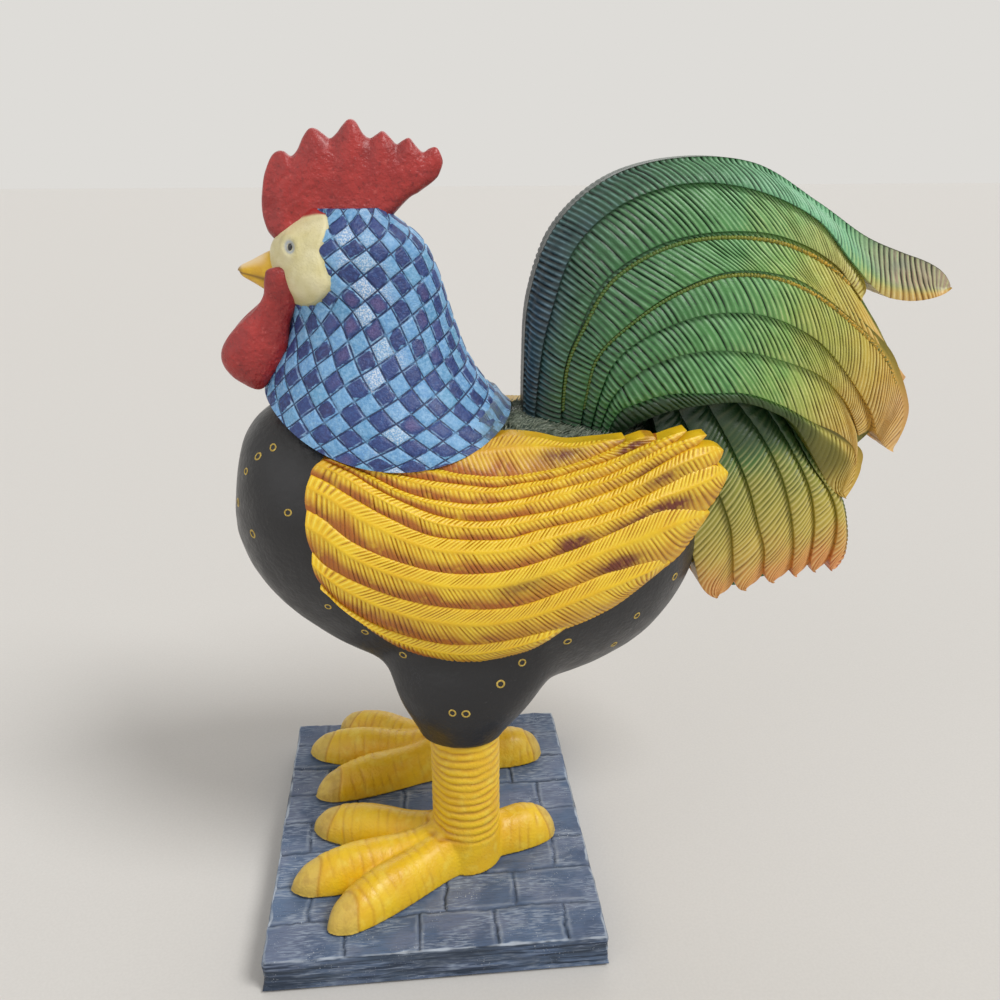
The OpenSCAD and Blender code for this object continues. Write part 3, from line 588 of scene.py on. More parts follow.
def tail_paint(paints):
    # Acrylics blended wet along each feather from slate to green, mint, olive and gold, then rubbed
    # pale on the crests of the barbs, which is also a painted highlight: thin dark lines between soft
    # pale ridges
    material, tree = new_finish("blended_tail_paint")
    hue = add(tree, "ShaderNodeAttribute", attribute_name="hue").outputs["Fac"]
    cut = barb_wash(tree)
    blends = [
        [(0.0, paints.tail_root), (1.0, "#D3A08C"), (0.05, "#1D3D3E"), (0.13, "#22502F"),
         (0.28, paints.tail), (0.48, "#549349"), (0.6, "#7FA83E"), (0.69, "#B9B236"),
         (0.79, paints.tail_tip), (0.9, "#D9A65C")],
        [(0.0, "#7C9DB2"), (1.0, "#F0D2B4"), (0.2, "#7FB08A"), (0.45, "#A9D8A0"), (0.7, "#EBE48C")],
        [(0.0, "#050B10"), (1.0, "#8A583C"), (0.5, "#0D2C12"), (0.66, "#40480F"), (0.8, "#8A6414")],
        [(0.0, "#0C1A1C"), (1.0, "#B9793A"), (0.4, "#1C3A14"), (0.62, "#2F440F"), (0.82, "#8A7A22")]]
    body, crest, deep, band = (
        add(tree, "ShaderNodeValToRGB", {0: hue}, stops=blend).outputs[0] for blend in blends)
    # The pale coat is a mint that is partly the tail's own and partly painted highlight; band is painted
    # shade in the bare band under each feather's edge, at the roots, on the top feather's outer wall and
    # under the lowest feather
    tone = brushed(
        tree, body,
        ("#8CCFA4", "pale"),
        (brushed(tree, "#A9A092", ("#C9A290", grain(tree, 12))), "blush", 0.85),
        (crest, "edge", grain(tree, 6, low=0.2, high=0.7), 0.85),
        (deep, cut, 0.95),
        (band, "shade"))
    return finished(material, tone, 0.42, 0.12, grain(tree, 1.0), 0.08)


def plate_paint():
    # The same greens brushed on thin over the plate between the two fans, from front to back
    material, tree = new_finish("thin_green_paint")
    place = add(tree, "ShaderNodeSeparateXYZ", {0: add(tree, "ShaderNodeTexCoord").outputs["Object"]})
    share = add(tree, "ShaderNodeMapRange", {
        0: place.outputs[0], 1: TAIL_X * MM, 2: (TAIL_X + TAIL_SIZE[0]) * MM})
    tone = add(tree, "ShaderNodeValToRGB", {0: share.outputs[0]}, stops=[
        (0.0, "#122028"), (1.0, "#C99678"),
        (0.15, "#1B3F38"), (0.5, "#3F7A4C"), (0.75, "#5F9A5C"), (0.86, "#B9A850")])
    tone = brushed(tree, tone.outputs[0], ("#1B2E1E", grain(tree, 3, 3, (1, 1, 0.3)), 0.5))
    return finished(material, tone, 0.5, height=grain(tree, 1.5), depth=0.15)


def shaft_paint():
    # Gold hobby paint on the twisted shafts, rubbed off towards the root so that green shows
    material, tree = new_finish("rubbed_gold_shaft_paint")
    hue = add(tree, "ShaderNodeAttribute", attribute_name="hue").outputs["Fac"]
    tone = add(tree, "ShaderNodeValToRGB", {0: hue}, stops=[
        (0.0, "#2F5A2A"), (1.0, "#E0A640"), (0.3, "#4F7A30"), (0.45, "#8E962E"), (0.66, "#DDAE34")])
    tone = brushed(tree, tone.outputs[0], ("#5A6420", grain(tree, 1.0, 2)))
    return finished(material, tone, 0.4, height=grain(tree, 0.8), depth=0.05)


def covert_paint(paints):
    # The tail's paints carried down: green at the root, olive-yellow, then orange at the blunt tips
    material, tree = new_finish("blended_covert_paint")
    hue = add(tree, "ShaderNodeAttribute", attribute_name="hue").outputs["Fac"]
    cut = barb_wash(tree)
    blends = [
        [(0.0, "#234A22"), (1.0, "#D98246"), (0.25, "#467430"), (0.5, paints.covert), (0.7, "#C6AE44"),
         (0.86, "#DA9A48")],
        [(0.0, "#12301A"), (1.0, "#9A4A1E"), (0.6, "#5F6420")],
        [(0.0, "#14331A"), (1.0, "#9A6426"), (0.6, "#3F5A1E")]]
    body, deep, band = (
        add(tree, "ShaderNodeValToRGB", {0: hue}, stops=blend).outputs[0] for blend in blends)
    # edge is a painted highlight on the crests of the barbs, and band is painted shade between the feathers
    # and where the tail hangs over them
    tone = brushed(
        tree, body,
        ("#F6EAA6", "edge", 0.45),
        (deep, cut, 0.75),
        (band, "shade"))
    return finished(material, tone, 0.42, 0.12, grain(tree, 1.0), 0.08)


def floor_paint():
    # A sheet of pale matt card with a fine tooth, which takes the bird's soft shadow
    material, tree = new_finish("pale_card")
    tone = brushed(tree, "#D8D5D0", ("#D5D2CD", grain(tree, 1.5, 2)))
    return finished(material, tone, 0.85)


# The brick slab

# Joints of the carved bricks: the lines between courses, and the joints inside each course
COURSES = [-100, -74.5, -48.5, -23.5, 1, 27, 52, 76, 100]
JOINTS = [[-47, -9.5, 30, 67], [-66, -25, 6, 42.5], [-52, -8, 29, 67.8], [-70, -28, 12, 48],
          [-46, -16.5, 24, 66.5], [-63, -22, 14, 51], [-45, -6, 33, 70], [-68, -30, 12, 47]]


def slab_grid():
    """The slab as a closed block: its points, close enough together to be carved, and its faces."""
    size = BASE_HIGH - BASE_LOW
    columns, rows, layers = 216, 246, 34
    x, y = np.meshgrid(np.linspace(-size[0] / 2, size[0] / 2, columns + 1),
                       np.linspace(-size[1] / 2, size[1] / 2, rows + 1), indexing="ij")
    top = np.stack([x, y, np.full_like(x, BASE_HIGH[2])], -1).reshape(-1, 3)
    ids = np.arange(len(top)).reshape(columns + 1, rows + 1)
    quads = [np.stack([ids[:-1, :-1], ids[1:, :-1], ids[1:, 1:], ids[:-1, 1:]], -1).reshape(-1, 4)]
    rim = np.concatenate([ids[:-1, 0], ids[-1, :-1], ids[:0:-1, -1], ids[0, :0:-1]])
    points, above = [top], rim
    for height in np.linspace(BASE_HIGH[2], BASE_LOW[2], layers + 1)[1:]:
        below = np.arange(len(rim)) + sum(map(len, points))
        points.append(top[rim] * [1, 1, 0] + [0, 0, height])
        quads.append(np.stack([above, below, np.roll(below, -1), np.roll(above, -1)], -1))
        above = below
    middle = sum(map(len, points))
    points.append(np.array([[0, 0, BASE_LOW[2]]]))
    tris = np.stack([np.full(len(rim), middle), np.roll(above, -1), above], -1)
    return np.concatenate(points), np.concatenate(quads), tris


def slab_mesh(depth):
    """The slab with chipped edges, split sides and bricks between joints of a depth in mm."""
    block, quads, tris = slab_grid()

    # Rounded, chipped edges: each point moves to the skin of a box whose corner radius varies
    radius = (2.4 + 1.1 * lumps(block, 9, 1) + 0.7 * lumps(block, 3, 2))[:, None]
    inner = np.clip(block, BASE_LOW + radius, BASE_HIGH - radius)
    way = (block - inner) / np.maximum(np.linalg.norm(block - inner, axis=1, keepdims=True), 1e-9)
    low = block[:, 2:] < BASE_LOW[2] + 0.1
    rounded = np.where(low, block, inner + way * radius)
    edge = ease(0.1, 0.7, np.linalg.norm(block - rounded, axis=1)) * (1 - low[:, 0])

    # Bricks: distance to the nearest joint, with the lines drawn by a shaky hand
    drawn = (block[:, :2] + 1.3 * np.stack([lumps(block, 11, 3), lumps(block, 11, 4)], 1)
             + 0.5 * np.stack([lumps(block, 3, 5), lumps(block, 3, 6)], 1))
    line = np.abs(drawn[:, 1:] - np.array(COURSES[1:-1])).min(1)
    course = np.clip(np.searchsorted(COURSES, drawn[:, 1]) - 1, 0, len(JOINTS) - 1)
    joints = np.array(JOINTS, float)[course]
    gap = np.minimum(line, np.abs(drawn[:, :1] - joints).min(1))
    # Each brick lies at its own height, with its own tilt
    brick = course * 7 + (drawn[:, :1] > joints).sum(1)
    tilt = np.stack([lumps(np.stack([brick * 3.7, brick * 1.3], 1), 1, seed) for seed in (7, 8, 9)], 1)
    face_up = ease(0.5, 0.9, way[:, 2])
    cut = np.exp(-(gap / 0.65) ** 2) * np.clip(0.75 + 0.5 * lumps(block, 12, 18), 0.25, 1)
    sink = (depth * cut + 0.45 * (1 + tilt[:, 0])
            + 0.004 * np.abs(drawn[:, 0] * tilt[:, 1] + drawn[:, 1] * tilt[:, 2]))
    strokes = block * [0.2, 1, 1]
    sink += (0.3 * (1 + lumps(block, 16, 10)) + 0.2 * (1 + lumps(strokes, 2.6, 11))
             + 0.12 * (1 + lumps(block, 1.7, 12)))

    # Sides: layers of slate are scratched along
    layers = block * [0.12, 0.12, 1] + 1.2 * lumps(block, 18, 13)[:, None]
    split = (np.exp(-(lumps(layers, 5, 14) / 0.3) ** 2)
             + 0.6 * np.exp(-(lumps(layers, 3.5, 15) / 0.3) ** 2))
    side_sink = 0.2 + 0.3 * split + 0.25 * (1 + lumps(block, 9, 16))
    amount = (sink * face_up + side_sink * (1 - face_up)) * (1 - low[:, 0])
    carved = rounded - way * amount[:, None]
    mesh = new_mesh("slab", carved, quads, tris)
    paint(mesh, "groove", np.clip(cut * face_up + 0.6 * split * (1 - face_up), 0, 1) * 0.85)
    paint(mesh, "side", 1 - face_up)
    rubbed = 0.95 * edge * (carved[:, 2] > BASE_HIGH[2] / 2)
    beside_joint = 0.35 * np.exp(-((gap - 2.0) / 0.7) ** 2) * face_up
    paint(mesh, "edge", np.clip(rubbed + beside_joint, 0, 1) * ease(-0.7, 0.3, lumps(carved, 7, 17)))
    return mesh


# The legs

# Left and right: which way the toes point, in degrees from straight ahead
TOE_ANGLES = {-1: [-18, 12, 35], 1: [-16, 12, 31]}
BACK_ANGLE = {-1: 197, 1: 173}
TOE_REACH, BACK_REACH = [0.94 * 99, 99, 0.92 * 99], 55
TOE_WIDTH, TOE_HEIGHT, TOE_LINE_PITCH = 26.0, 21.0, 5.3
SHANK_RADIUS = 18.75


def leg_shell(side, centre):
    """Shank and toes as patches that overlap, with the way, the breadth and the reach of each toe."""
    shell, rows, columns = Shell(), 60, 64
    share = np.linspace(0, 1, rows)
    # The shank spreads a little into the foot below the ankle
    spread = smooth([1, 0.52, 0.2, 0.06, 0], np.clip(share * LEG_HEIGHT / 30, 0, 1))
    radius = (SHANK_RADIUS + 1.4 * spread)[:, None]
    turn = np.linspace(0, 2 * np.pi, columns, endpoint=False)
    height = np.broadcast_to(share[:, None] * LEG_HEIGHT, (rows, columns))
    shell.tube(np.stack([radius * np.cos(turn), radius * np.sin(turn), height], -1) + centre)
    over = np.linspace(0, np.pi, 25)
    spans = []
    for reach, angle in zip(TOE_REACH + [BACK_REACH], TOE_ANGLES[side] + [BACK_ANGLE[side]]):
        way = math.radians(180 - side * angle)
        along = np.array([math.cos(way), math.sin(way), 0])
        across = np.array([-math.sin(way), math.cos(way), 0])
        half = TOE_WIDTH / 2 * smooth([0.85, 1, 0.95, 0.97, 1, 1, 0.95, 0.8, 0.5], share)
        high = TOE_HEIGHT * smooth([1.6, 1.35, 1.06, 0.96, 0.97, 0.98, 0.88, 0.7, 0.42], share)
        close = np.sqrt(np.clip(1 - (np.clip(share - 0.9, 0, 1) / 0.1) ** 2, 0.01, 1))
        shell.tube(centre + along * (reach * share)[:, None, None]
                   + across * ((half * close)[:, None] * np.cos(over))[..., None]
                   + np.array([0, 0, 1]) * ((high * close)[:, None] * np.sin(over) ** 0.9)[..., None])
        spans.append((along, across, reach))
    return shell, spans


def repeated_lines(place, pitch, width):
    """1 on lines that repeat at a pitch, and 0 between them."""
    return np.exp(-(np.abs((place / pitch) % 1 - 0.5) * pitch / width) ** 2)


def leg_mesh(side, sizes):
    """A leg in one skin, with wrinkles round its shank, lines across its toes and four claws."""
    centre = np.array([LEG_X, BIRD_Y + side * LEG_GAP / 2, BASE_TOP])
    shell, spans = leg_shell(side, centre)
    mesh = kneaded(shell, "leg", 0.85, 8)
    points, normals = read_points(mesh)
    place = points - centre
    # Wrinkles round the shank, deeper in some than in others
    up = place[:, 2] + 1.3 * lumps(points, 15, 21) + 0.7 * lumps(points, 5, 22)
    ring = repeated_lines(up, (LEG_HEIGHT - 22) / sizes.wrinkles, 0.85)
    on_shank = ease(15, 23, place[:, 2]) * ease(24.5, 21.5, np.hypot(place[:, 0], place[:, 1]))
    cut = ring * on_shank * np.clip(0.75 + 0.5 * lumps(points, 9, 23), 0.1, 1)
    depth = 1.1 * cut
    claw = np.zeros(len(points))
    for along, across, reach in spans:
        far, aside = place @ along, np.abs(place @ across)
        on_toe = ease(15, 12.5, aside) * ease(19, 25, far)
        way = far + 1.2 * lumps(points, 10, 24) + 0.012 * aside**2
        line = repeated_lines(way, TOE_LINE_PITCH, 0.7) * on_toe * ease(0.84 * reach, 0.78 * reach, far)
        line = line * np.clip(0.45 + 0.8 * lumps(points, 8, 25), 0, 1)
        # A claw is set off by a curved line, and lies a little lower than its toe
        start = reach * 0.86 - 0.035 * (100 - aside**2)
        seam = np.exp(-((far - start) / 0.8) ** 2) * on_toe
        cut = np.maximum(cut, np.maximum(0.6 * line, 0.75 * seam))
        lower = 0.6 * seam + 0.45 * ease(start, start + 2, far) * on_toe
        depth = np.maximum(depth, np.maximum(0.4 * line, lower))
        claw = np.maximum(claw, ease(-0.3, 0.8, far - start) * on_toe)
    depth += 0.125 * (1 + lumps(points, 7, 26))
    keep = ease(0.4, 1.2, place[:, 2]) * ease(83.8, 82, place[:, 2])
    write_points(mesh, points - normals * (depth * keep)[:, None])
    paint(mesh, "groove", np.clip(cut, 0, 1) * 0.8)
    paint(mesh, "claw", claw)
    return mesh


# The body

# Underside, back and half width of the body from front to back, as shares of its size
BELLY = [0.58, 0.41, 0.24, 0.1, 0.01, 0.03, 0.13, 0.31, 0.47]
BACK = [0.58, 0.85, 0.96, 0.96, 0.91, 0.885, 0.84, 0.71, 0.47]
FLANKS = [1, 1.12, 1.06, 1, 1, 1, 1, 1, 1]
THIGH_WIDTH = 68.0


def body_mesh():
    """Body and thighs in one skin, with the strands of the saddle combed up from it."""
    shell = Shell()
    share = 0.04 + 0.92 * np.linspace(0, 1, 90)[:, None]
    turn = np.linspace(0, 2 * np.pi, 96, endpoint=False)
    low, high = (BODY_Z + BODY_HEIGHT * smooth(line, share) for line in (BELLY, BACK))
    x = BODY_X + BODY_LENGTH / 2 * (1 - np.cos(np.pi * share)) + 0 * turn
    half = BODY_WIDTH / 2 * np.sin(np.pi * share) * smooth(FLANKS, share)
    shell.tube(np.stack([x, BIRD_Y + half * np.cos(turn),
                         (low + high) / 2 + (high - low) / 2 * np.sin(turn)], -1))
    rise = 1 - np.cos(np.linspace(0, np.pi / 2, 40))[:, None]
    for side, _ in SIDES:
        ahead = THIGH_WIDTH / 2 * smooth([0.62, 0.93, 1.16, 1.3, 1.2, 0.95, 0.6], rise) * np.cos(turn)
        ahead = np.where(ahead < 0, ahead * 1.16, ahead)
        aside = THIGH_WIDTH / 2 * smooth([0.6, 0.84, 0.94, 0.9, 0.8, 0.7, 0.5], rise) * np.sin(turn)
        shell.tube(np.stack([LEG_X + 0.32 * THIGH_WIDTH * rise + ahead,
                             BIRD_Y + side * (LEG_GAP / 2 - 0.2 * THIGH_WIDTH * rise) + aside,
                             THIGH_Z + 0.55 * BODY_HEIGHT * rise + 0 * turn], -1))
    mesh = kneaded(shell, "body", 1.7, 3)
    points, _ = read_points(mesh)
    # The crease between thigh and belly is filled and smoothed
    crease = (ease(106, 118, points[:, 2]) * ease(190, 165, points[:, 2])
              * ease(-45, -30, points[:, 0]) * ease(110, 95, points[:, 0]))
    eased(mesh, crease, 60)
    points, normals = read_points(mesh)
    saddle = (ease(248, 262, points[:, 2] + 3 * lumps(points, 8, 31))
              * ease(22, 34, points[:, 0] + 4 * lumps(points, 6, 32))
              * ease(128, 112, points[:, 0] + 4 * lumps(points, 6, 33)))
    strands = lumps(points * [0.25, 1, 1], 1.6, 34)
    lift = (0.45 * lumps(points, 28, 35) + 0.1 * lumps(points, 7, 36) - 0.3
            + saddle * (0.8 + 0.6 * strands))
    keep = ease(104.2, 106, points[:, 2])
    write_points(mesh, points + normals * (lift * keep)[:, None])
    paint(mesh, "saddle", saddle * (0.8 + 0.2 * strands))
    return mesh


# Middles of the gold rings, as the camera sees them on an upright plane through the left side:
# along and up. Both sides have them
RING_PLANE = -45.0
RINGS = [(-66, 269), (-73, 265), (-79, 258), (-62, 237), (-79, 227), (-47, 187), (-12, 158), (71, 161),
         (78, 144), (48, 150), (37, 138), (12, 122), (19, 121), (124, 195), (106, 174), (-84, 243),
         (-30, 172), (95, 158)]


def new_tree(name, given, numbers, made):
    """A Geometry Nodes tree with its inputs and its output, and the sockets that it is given."""
    tree = bpy.data.node_groups.new(name, "GeometryNodeTree")
    face = tree.interface
    face.new_socket(given, in_out="INPUT", socket_type="NodeSocketGeometry")
    for number in numbers:
        face.new_socket(number, in_out="INPUT", socket_type="NodeSocketFloat")
    face.new_socket("Paint", in_out="INPUT", socket_type="NodeSocketMaterial")
    face.new_socket(made, in_out="OUTPUT", socket_type="NodeSocketGeometry")
    return tree, add(tree, "NodeGroupInput").outputs


def set_down(tree, given, places, piece, turn, size):
    """Ends a tree: a piece is set down on every point, made real and painted."""
    put = add(tree, "GeometryNodeInstanceOnPoints", {
        "Points": places, "Instance": piece, "Rotation": turn, "Scale": size})
    real = add(tree, "GeometryNodeRealizeInstances", {0: put.outputs[0]})
    done = add(tree, "GeometryNodeSetMaterial", {"Geometry": real.outputs[0], "Material": given["Paint"]})
    add(tree, "NodeGroupOutput", {0: done.outputs[0]})
    return tree


def scattered(tree, given, piece, smallest, largest, seed):
    """Ends a tree: a piece stands on each point, the way that the point gives, in its own size."""
    way = add(tree, "GeometryNodeInputNamedAttribute", {"Name": "way"}, data_type="FLOAT_VECTOR")
    turn = add(tree, "FunctionNodeAlignRotationToVector", {"Vector": way.outputs[0]}, axis="Z")
    size = add(tree, "FunctionNodeRandomValue", {"Min": smallest, "Max": largest, "Seed": seed},
               data_type="FLOAT_VECTOR")
    return set_down(tree, given, given["Points"], piece.outputs[0], turn.outputs[0], size.outputs[0])


def ring_tree():
    """Geometry Nodes: a small painted ring on each point, turned to lie on the body."""
    tree, given = new_tree("gold_rings", "Points", ("Ring diameter", "Brush line"), "Rings")
    radius = add(tree, "ShaderNodeMath", {0: given["Ring diameter"], 1: 0.5}, operation="MULTIPLY")
    ring = add(tree, "GeometryNodeCurvePrimitiveCircle", {"Resolution": 14, "Radius": radius.outputs[0]})
    line = add(tree, "ShaderNodeMath", {0: given["Brush line"], 1: 0.5}, operation="MULTIPLY")
    brush = add(tree, "GeometryNodeCurvePrimitiveCircle", {"Resolution": 5, "Radius": line.outputs[0]})
    tube = add(tree, "GeometryNodeCurveToMesh", {"Curve": ring.outputs[0], "Profile Curve": brush.outputs[0]})
    return scattered(tree, given, tube, (0.85, 0.75, 0.5), (1.15, 1.1, 0.6), 5)


def tuft_tree():
    """Geometry Nodes: a short tapered strand on each point, combed the way that the point gives."""
    tree, given = new_tree("saddle_tufts", "Points", ("Strand length", "Strand thickness"), "Tufts")
    strand = add(tree, "GeometryNodeMeshCone", {
        "Vertices": 5, "Side Segments": 2, "Radius Bottom": given["Strand thickness"],
        "Depth": given["Strand length"]})
    return scattered(tree, given, strand, (0.7, 0.5, 0.6), (1.3, 0.9, 1.3), 8)


def ring_places(body):
    """Where the camera's lines meet the body on each side, and the way that the skin faces there."""
    points, ways = [], []
    for side, _ in SIDES:
        for x, z in RINGS:
            start = Vector((CAMERA[0], BIRD_Y + side * (BIRD_Y - CAMERA[1]), CAMERA[2])) * MM
            aim = Vector((x, BIRD_Y + side * (BIRD_Y - RING_PLANE), z)) * MM
            hit, place, way, _ = body.ray_cast(start, (aim - start).normalized())
            if hit:
                points.append(np.array(place) / MM)
                ways.append(way)
    return points, np.array(ways)


def tuft_places(body):
    """Points in the saddle for its strands, and the way each is combed: back, up and a little aside."""
    points, normals = read_points(body.data)
    saddle = np.zeros(len(points), np.float32)
    body.data.attributes["saddle"].data.foreach_get("value", saddle)
    keep = (saddle > 0.45) & (lumps(points, 0.9, 37) > -0.25)
    points, normals = points[keep], normals[keep]
    swirl = np.stack([lumps(points, 9, seed) + 0.6 * lumps(points, 2, seed + 3) for seed in (38, 39, 40)], 1)
    way = 0.55 * normals + 0.6 * np.array([1, 0, 0.1]) + 0.55 * swirl
    way /= np.linalg.norm(way, axis=1, keepdims=True)
    return points - 0.4 * normals, way


# Feathers

def toward(line, points):
    """Shares along a line that lie nearest to the given points, and never run back."""
    far = np.linalg.norm(points[:, None] - line[None], axis=2)
    return np.maximum.accumulate(np.argmin(far, 1) / (len(line) - 1))


def feather(shell, edges, tip, place, middle, lean, pitch, shaft, lift, cut, tip_share, tuck=(0.0, 0.0),
            bare=0.0, ridge=0.0, under=None, floor=None, seed=0, **painted):
    """One feather between two edge lines, with its barbs engraved as rows of the mesh.

    edges are its upper and lower line, and tip its end, as flat points. place turns flat points
    into points on the bird. lean gives the angle by which barbs lean towards the tip, above and
    below the shaft. lift is the height of the skin across the feather, as a table, and bare the
    share next to the upper edge that has no barbs. Its back lies a step under it, or on a floor.
    Each painted value is a rule of the shares along and across the feather and of its points.
    """
    upper, lower = even(edges[0], 300), even(edges[1], 300)
    knots = np.linspace(0, 1, 18)
    line = upper + (lower - upper) * shaft
    spine = smooth(line, knots)
    axis = np.unwrap(np.arctan2(*np.gradient(spine, axis=0).T[::-1]))
    length = np.linalg.norm(np.diff(line, axis=0), axis=1).sum()
    grip = np.clip(np.minimum(knots / 0.1, (1 - knots) / 0.16), 0, 1)
    shifts = []
    for side, edge in enumerate((upper, lower)):
        near = toward(edge, spine)
        reach = np.linalg.norm(smooth(edge, near) - spine, axis=1)
        edge_length = np.linalg.norm(np.diff(edge, axis=0), axis=1).sum()
        full = np.maximum.accumulate(near + np.tan(lean(side, spine, axis)) * reach / edge_length)
        shifts.append((full - knots) * grip)

    # Four rows of the mesh for each barb, which stand at slightly uneven distances
    barbs = int(length / pitch)
    steps = 4 * barbs
    row = np.arange(steps + 1)
    rng = np.random.default_rng(seed)
    sway = np.interp(row, np.linspace(0, steps, 14), rng.uniform(-0.4, 0.4, 14)) / barbs
    far = np.clip(row / steps + sway * np.sin(np.pi * row / steps), 0, 1)[:, None]
    across = np.concatenate([np.linspace(0, 1, 12),
                             [0.03, 0.97, bare, bare + 0.05, shaft - 0.045, shaft, shaft + 0.045]])
    across = np.unique(across.clip(0, 1).round(4))[None]
    above, below = (smooth(shift, far) for shift in shifts)
    along = np.clip(far + np.where(across < shaft, (shaft - across) / max(shaft, 0.01) * above,
                                   (across - shaft) / (1 - shaft) * below), 0, 1)

    # The edges tuck under their neighbours and close at the tip
    end = np.clip((along - 1 + tip_share) / tip_share, 0, 1)[..., None]
    close = 0.94 * (1 - np.sqrt(1 - end * end))
    first, last = smooth(upper, along), smooth(lower, along)
    first, last = (first - (last - first) * tuck[0] * (1 - close),
                   last + (last - first) * tuck[1] * (1 - close))
    first, last = first + (np.array(tip) - first) * close, last + (np.array(tip) - last) * close
    flat = first + (last - first) * across[..., None]
    base = place(flat, along, across + 0 * along)
    out = outward(base, middle)

    # Barbs of uneven depth, which fade at the shaft, in the bare band and at both ends
    rows, places = np.broadcast_arrays(row[:, None], across)
    lump = (1 + 0.45 * rng.uniform(-1, 1, barbs + 1))[row // 4][:, None]
    broken = 0.8 + 0.35 * lumps(np.stack([rows / 2, 14 * places], -1), 2.0, seed + 2)
    off_shaft = ease(0.02, 0.07, np.abs(across - shaft)) * ease(bare - 0.01, bare + 0.05, across)
    engraved = np.array([1.0, 0.25, 0.0, 0.25])[row % 4][:, None] * lump * broken * off_shaft
    engraved = engraved * ease(0, 0.02, far) * ease(1, 0.97, far) * (1 - 0.2 * ease(0.75, 1, across))
    wave = 0.12 * lumps(np.stack([rows / 4, 9 * places], -1), 2.2, seed + 1)
    rim = ease(0, 0.05, across) * ease(0, 0.05, 1 - across)
    high = smooth(lift, places) * (0.35 + 0.65 * rim) - cut * engraved + wave * rim
    high = (high + ridge * np.exp(-((across - shaft) / 0.04) ** 2)) * ease(0, 0.05, 1 - far)
    top = base + out * high[..., None]
    back = [base[:, [column]] + under if floor is None else top[:, [column]] * [1, 0, 1] + [0, floor, 0]
            for column in (-1, 0)]
    # edge marks the crest of each barb, on which the finishes paint a pale highlight
    values = {"groove": np.clip(engraved, 0, 1),
              "edge": np.clip(1 - engraved, 0, 1) * off_shaft * (row % 4 == 2)[:, None]}
    values["edge"][:, [0, -1]] = 0
    for key, rule in painted.items():
        values[key] = rule(along, across + 0 * along, base) + 0 * along
    # The back has the values of the edge next to it
    shell.tube(np.concatenate([top] + back, 1), **{
        key: np.concatenate([value, value[:, -1:], value[:, :1]], 1) for key, value in values.items()})


# The wings

# Lines along which two wing feathers meet, from the shoulder to the tip: along and up, in mm
WING_LINES = [
    [(-16, 262), (4, 262), (23, 263), (40, 265), (56, 264), (70, 262), (82, 263), (90, 264)],
    [(-22, 258), (4, 256), (18, 253), (37, 251), (56, 252), (70, 254), (84, 258), (96, 263)],
    [(-30, 259), (-14, 255), (0, 252), (18, 249), (34, 247), (46, 248), (60, 249), (74, 252),
     (89, 256), (103, 261), (116, 265.5)],
    [(-38, 260), (-23, 254), (-12, 249), (0, 245), (10, 243), (26, 241), (45, 242), (64, 245),
     (84, 249), (98, 254), (112, 260), (126, 265)],
    [(-44, 260), (-32, 255), (-21, 249), (-8, 243), (8, 237), (26, 234), (44, 235), (62, 237),
     (83, 242), (98, 247), (114, 254), (128, 260), (138, 263)],
    [(-50, 254), (-41, 250), (-28, 243), (-14, 236), (3, 229), (20, 226.5), (38, 226), (54, 229),
     (68, 231), (85, 234), (103, 240), (120, 246.5), (134, 252), (143, 254)],
    [(-52.5, 239), (-45, 235), (-33, 226), (-20, 220), (-5, 215), (12, 211.5), (30, 211), (46, 213),
     (58, 216), (73, 220), (88, 225), (104, 231), (118, 234.5), (128, 232)],
    [(-51, 220), (-46, 214), (-36, 208), (-22, 202), (-7, 197), (10, 194), (30, 192.5), (46, 194),
     (60, 198), (73, 202), (88, 206), (103, 209), (115, 211)],
    [(-48, 204), (-42, 196), (-34, 189), (-22, 181), (-8, 175), (8, 171), (24, 171), (38, 173),
     (50, 176), (60, 178.5)],
    [(-45, 199), (-38, 190), (-28, 180), (-15, 168), (-2, 161), (13, 157), (25, 157), (40, 162),
     (51, 166), (60, 171)]]
# Where the lower edge of a feather runs on under the shorter one that covers it
WING_LOWER_ENDS = {2: [(110, 258), (121, 263)], 3: [(116, 255), (131, 260)], 4: [(124, 246),
                   (137, 248), (144, 251)], 5: [(112, 232), (126, 230), (138, 231), (146, 237)],
                   6: [(108, 205), (122, 209), (131, 216)], 7: [(56, 176), (68, 180), (81, 184),
                   (94, 189), (106, 195)]}
# Middles of the feathers' ends
WING_TIPS = [(98, 265), (107, 266), (128, 268), (138, 265.5), (146.5, 257.5), (149.5, 246),
             (140.5, 228), (120, 205), (68, 178)]
# The wing's outline under the feathers, which fills the notches between their ends
WING_TOP = [(-16, 261), (20, 262), (50, 262), (80, 261), (100, 263), (118, 265), (130, 264.5)]
WING_LOW = [(-45, 200), (-36, 189), (-20, 173), (0, 161), (20, 158), (42, 163), (60, 173), (80, 183),
            (98, 191), (116, 203), (130, 216), (140, 230)]
# Where the brown wash has pooled: along, up, and how far it runs along the feather
WING_POOLS = [(112, 250, 13), (117, 235, 12), (101, 227, 15), (92, 210, 11), (69, 260, 12),
              (100, 261, 7), (45, 206, 12), (70, 222, 8)]
WING_X, WING_Z = BODY_X + 0.175 * BODY_LENGTH, BODY_Z + 0.26 * BODY_HEIGHT
WING_LENGTH, WING_HEIGHT = 204.0, 116.0


def wing_y(x, z):
    """How far the wing's skin lies from the bird's middle plane, as in the CAD source."""
    back = (x - WING_X) / WING_LENGTH
    middle = smooth([0.45, 0.41, 0.35, 0.35, 0.47, 0.6], np.clip(back, 0, 1))
    up = ((z - WING_Z) / WING_HEIGHT - middle) / 0.66
    return (BODY_WIDTH / 2 + 7) * (1 - 1.08 * (back - 0.41) ** 2) * np.sqrt(np.clip(1 - up * up, 0.05, 1))


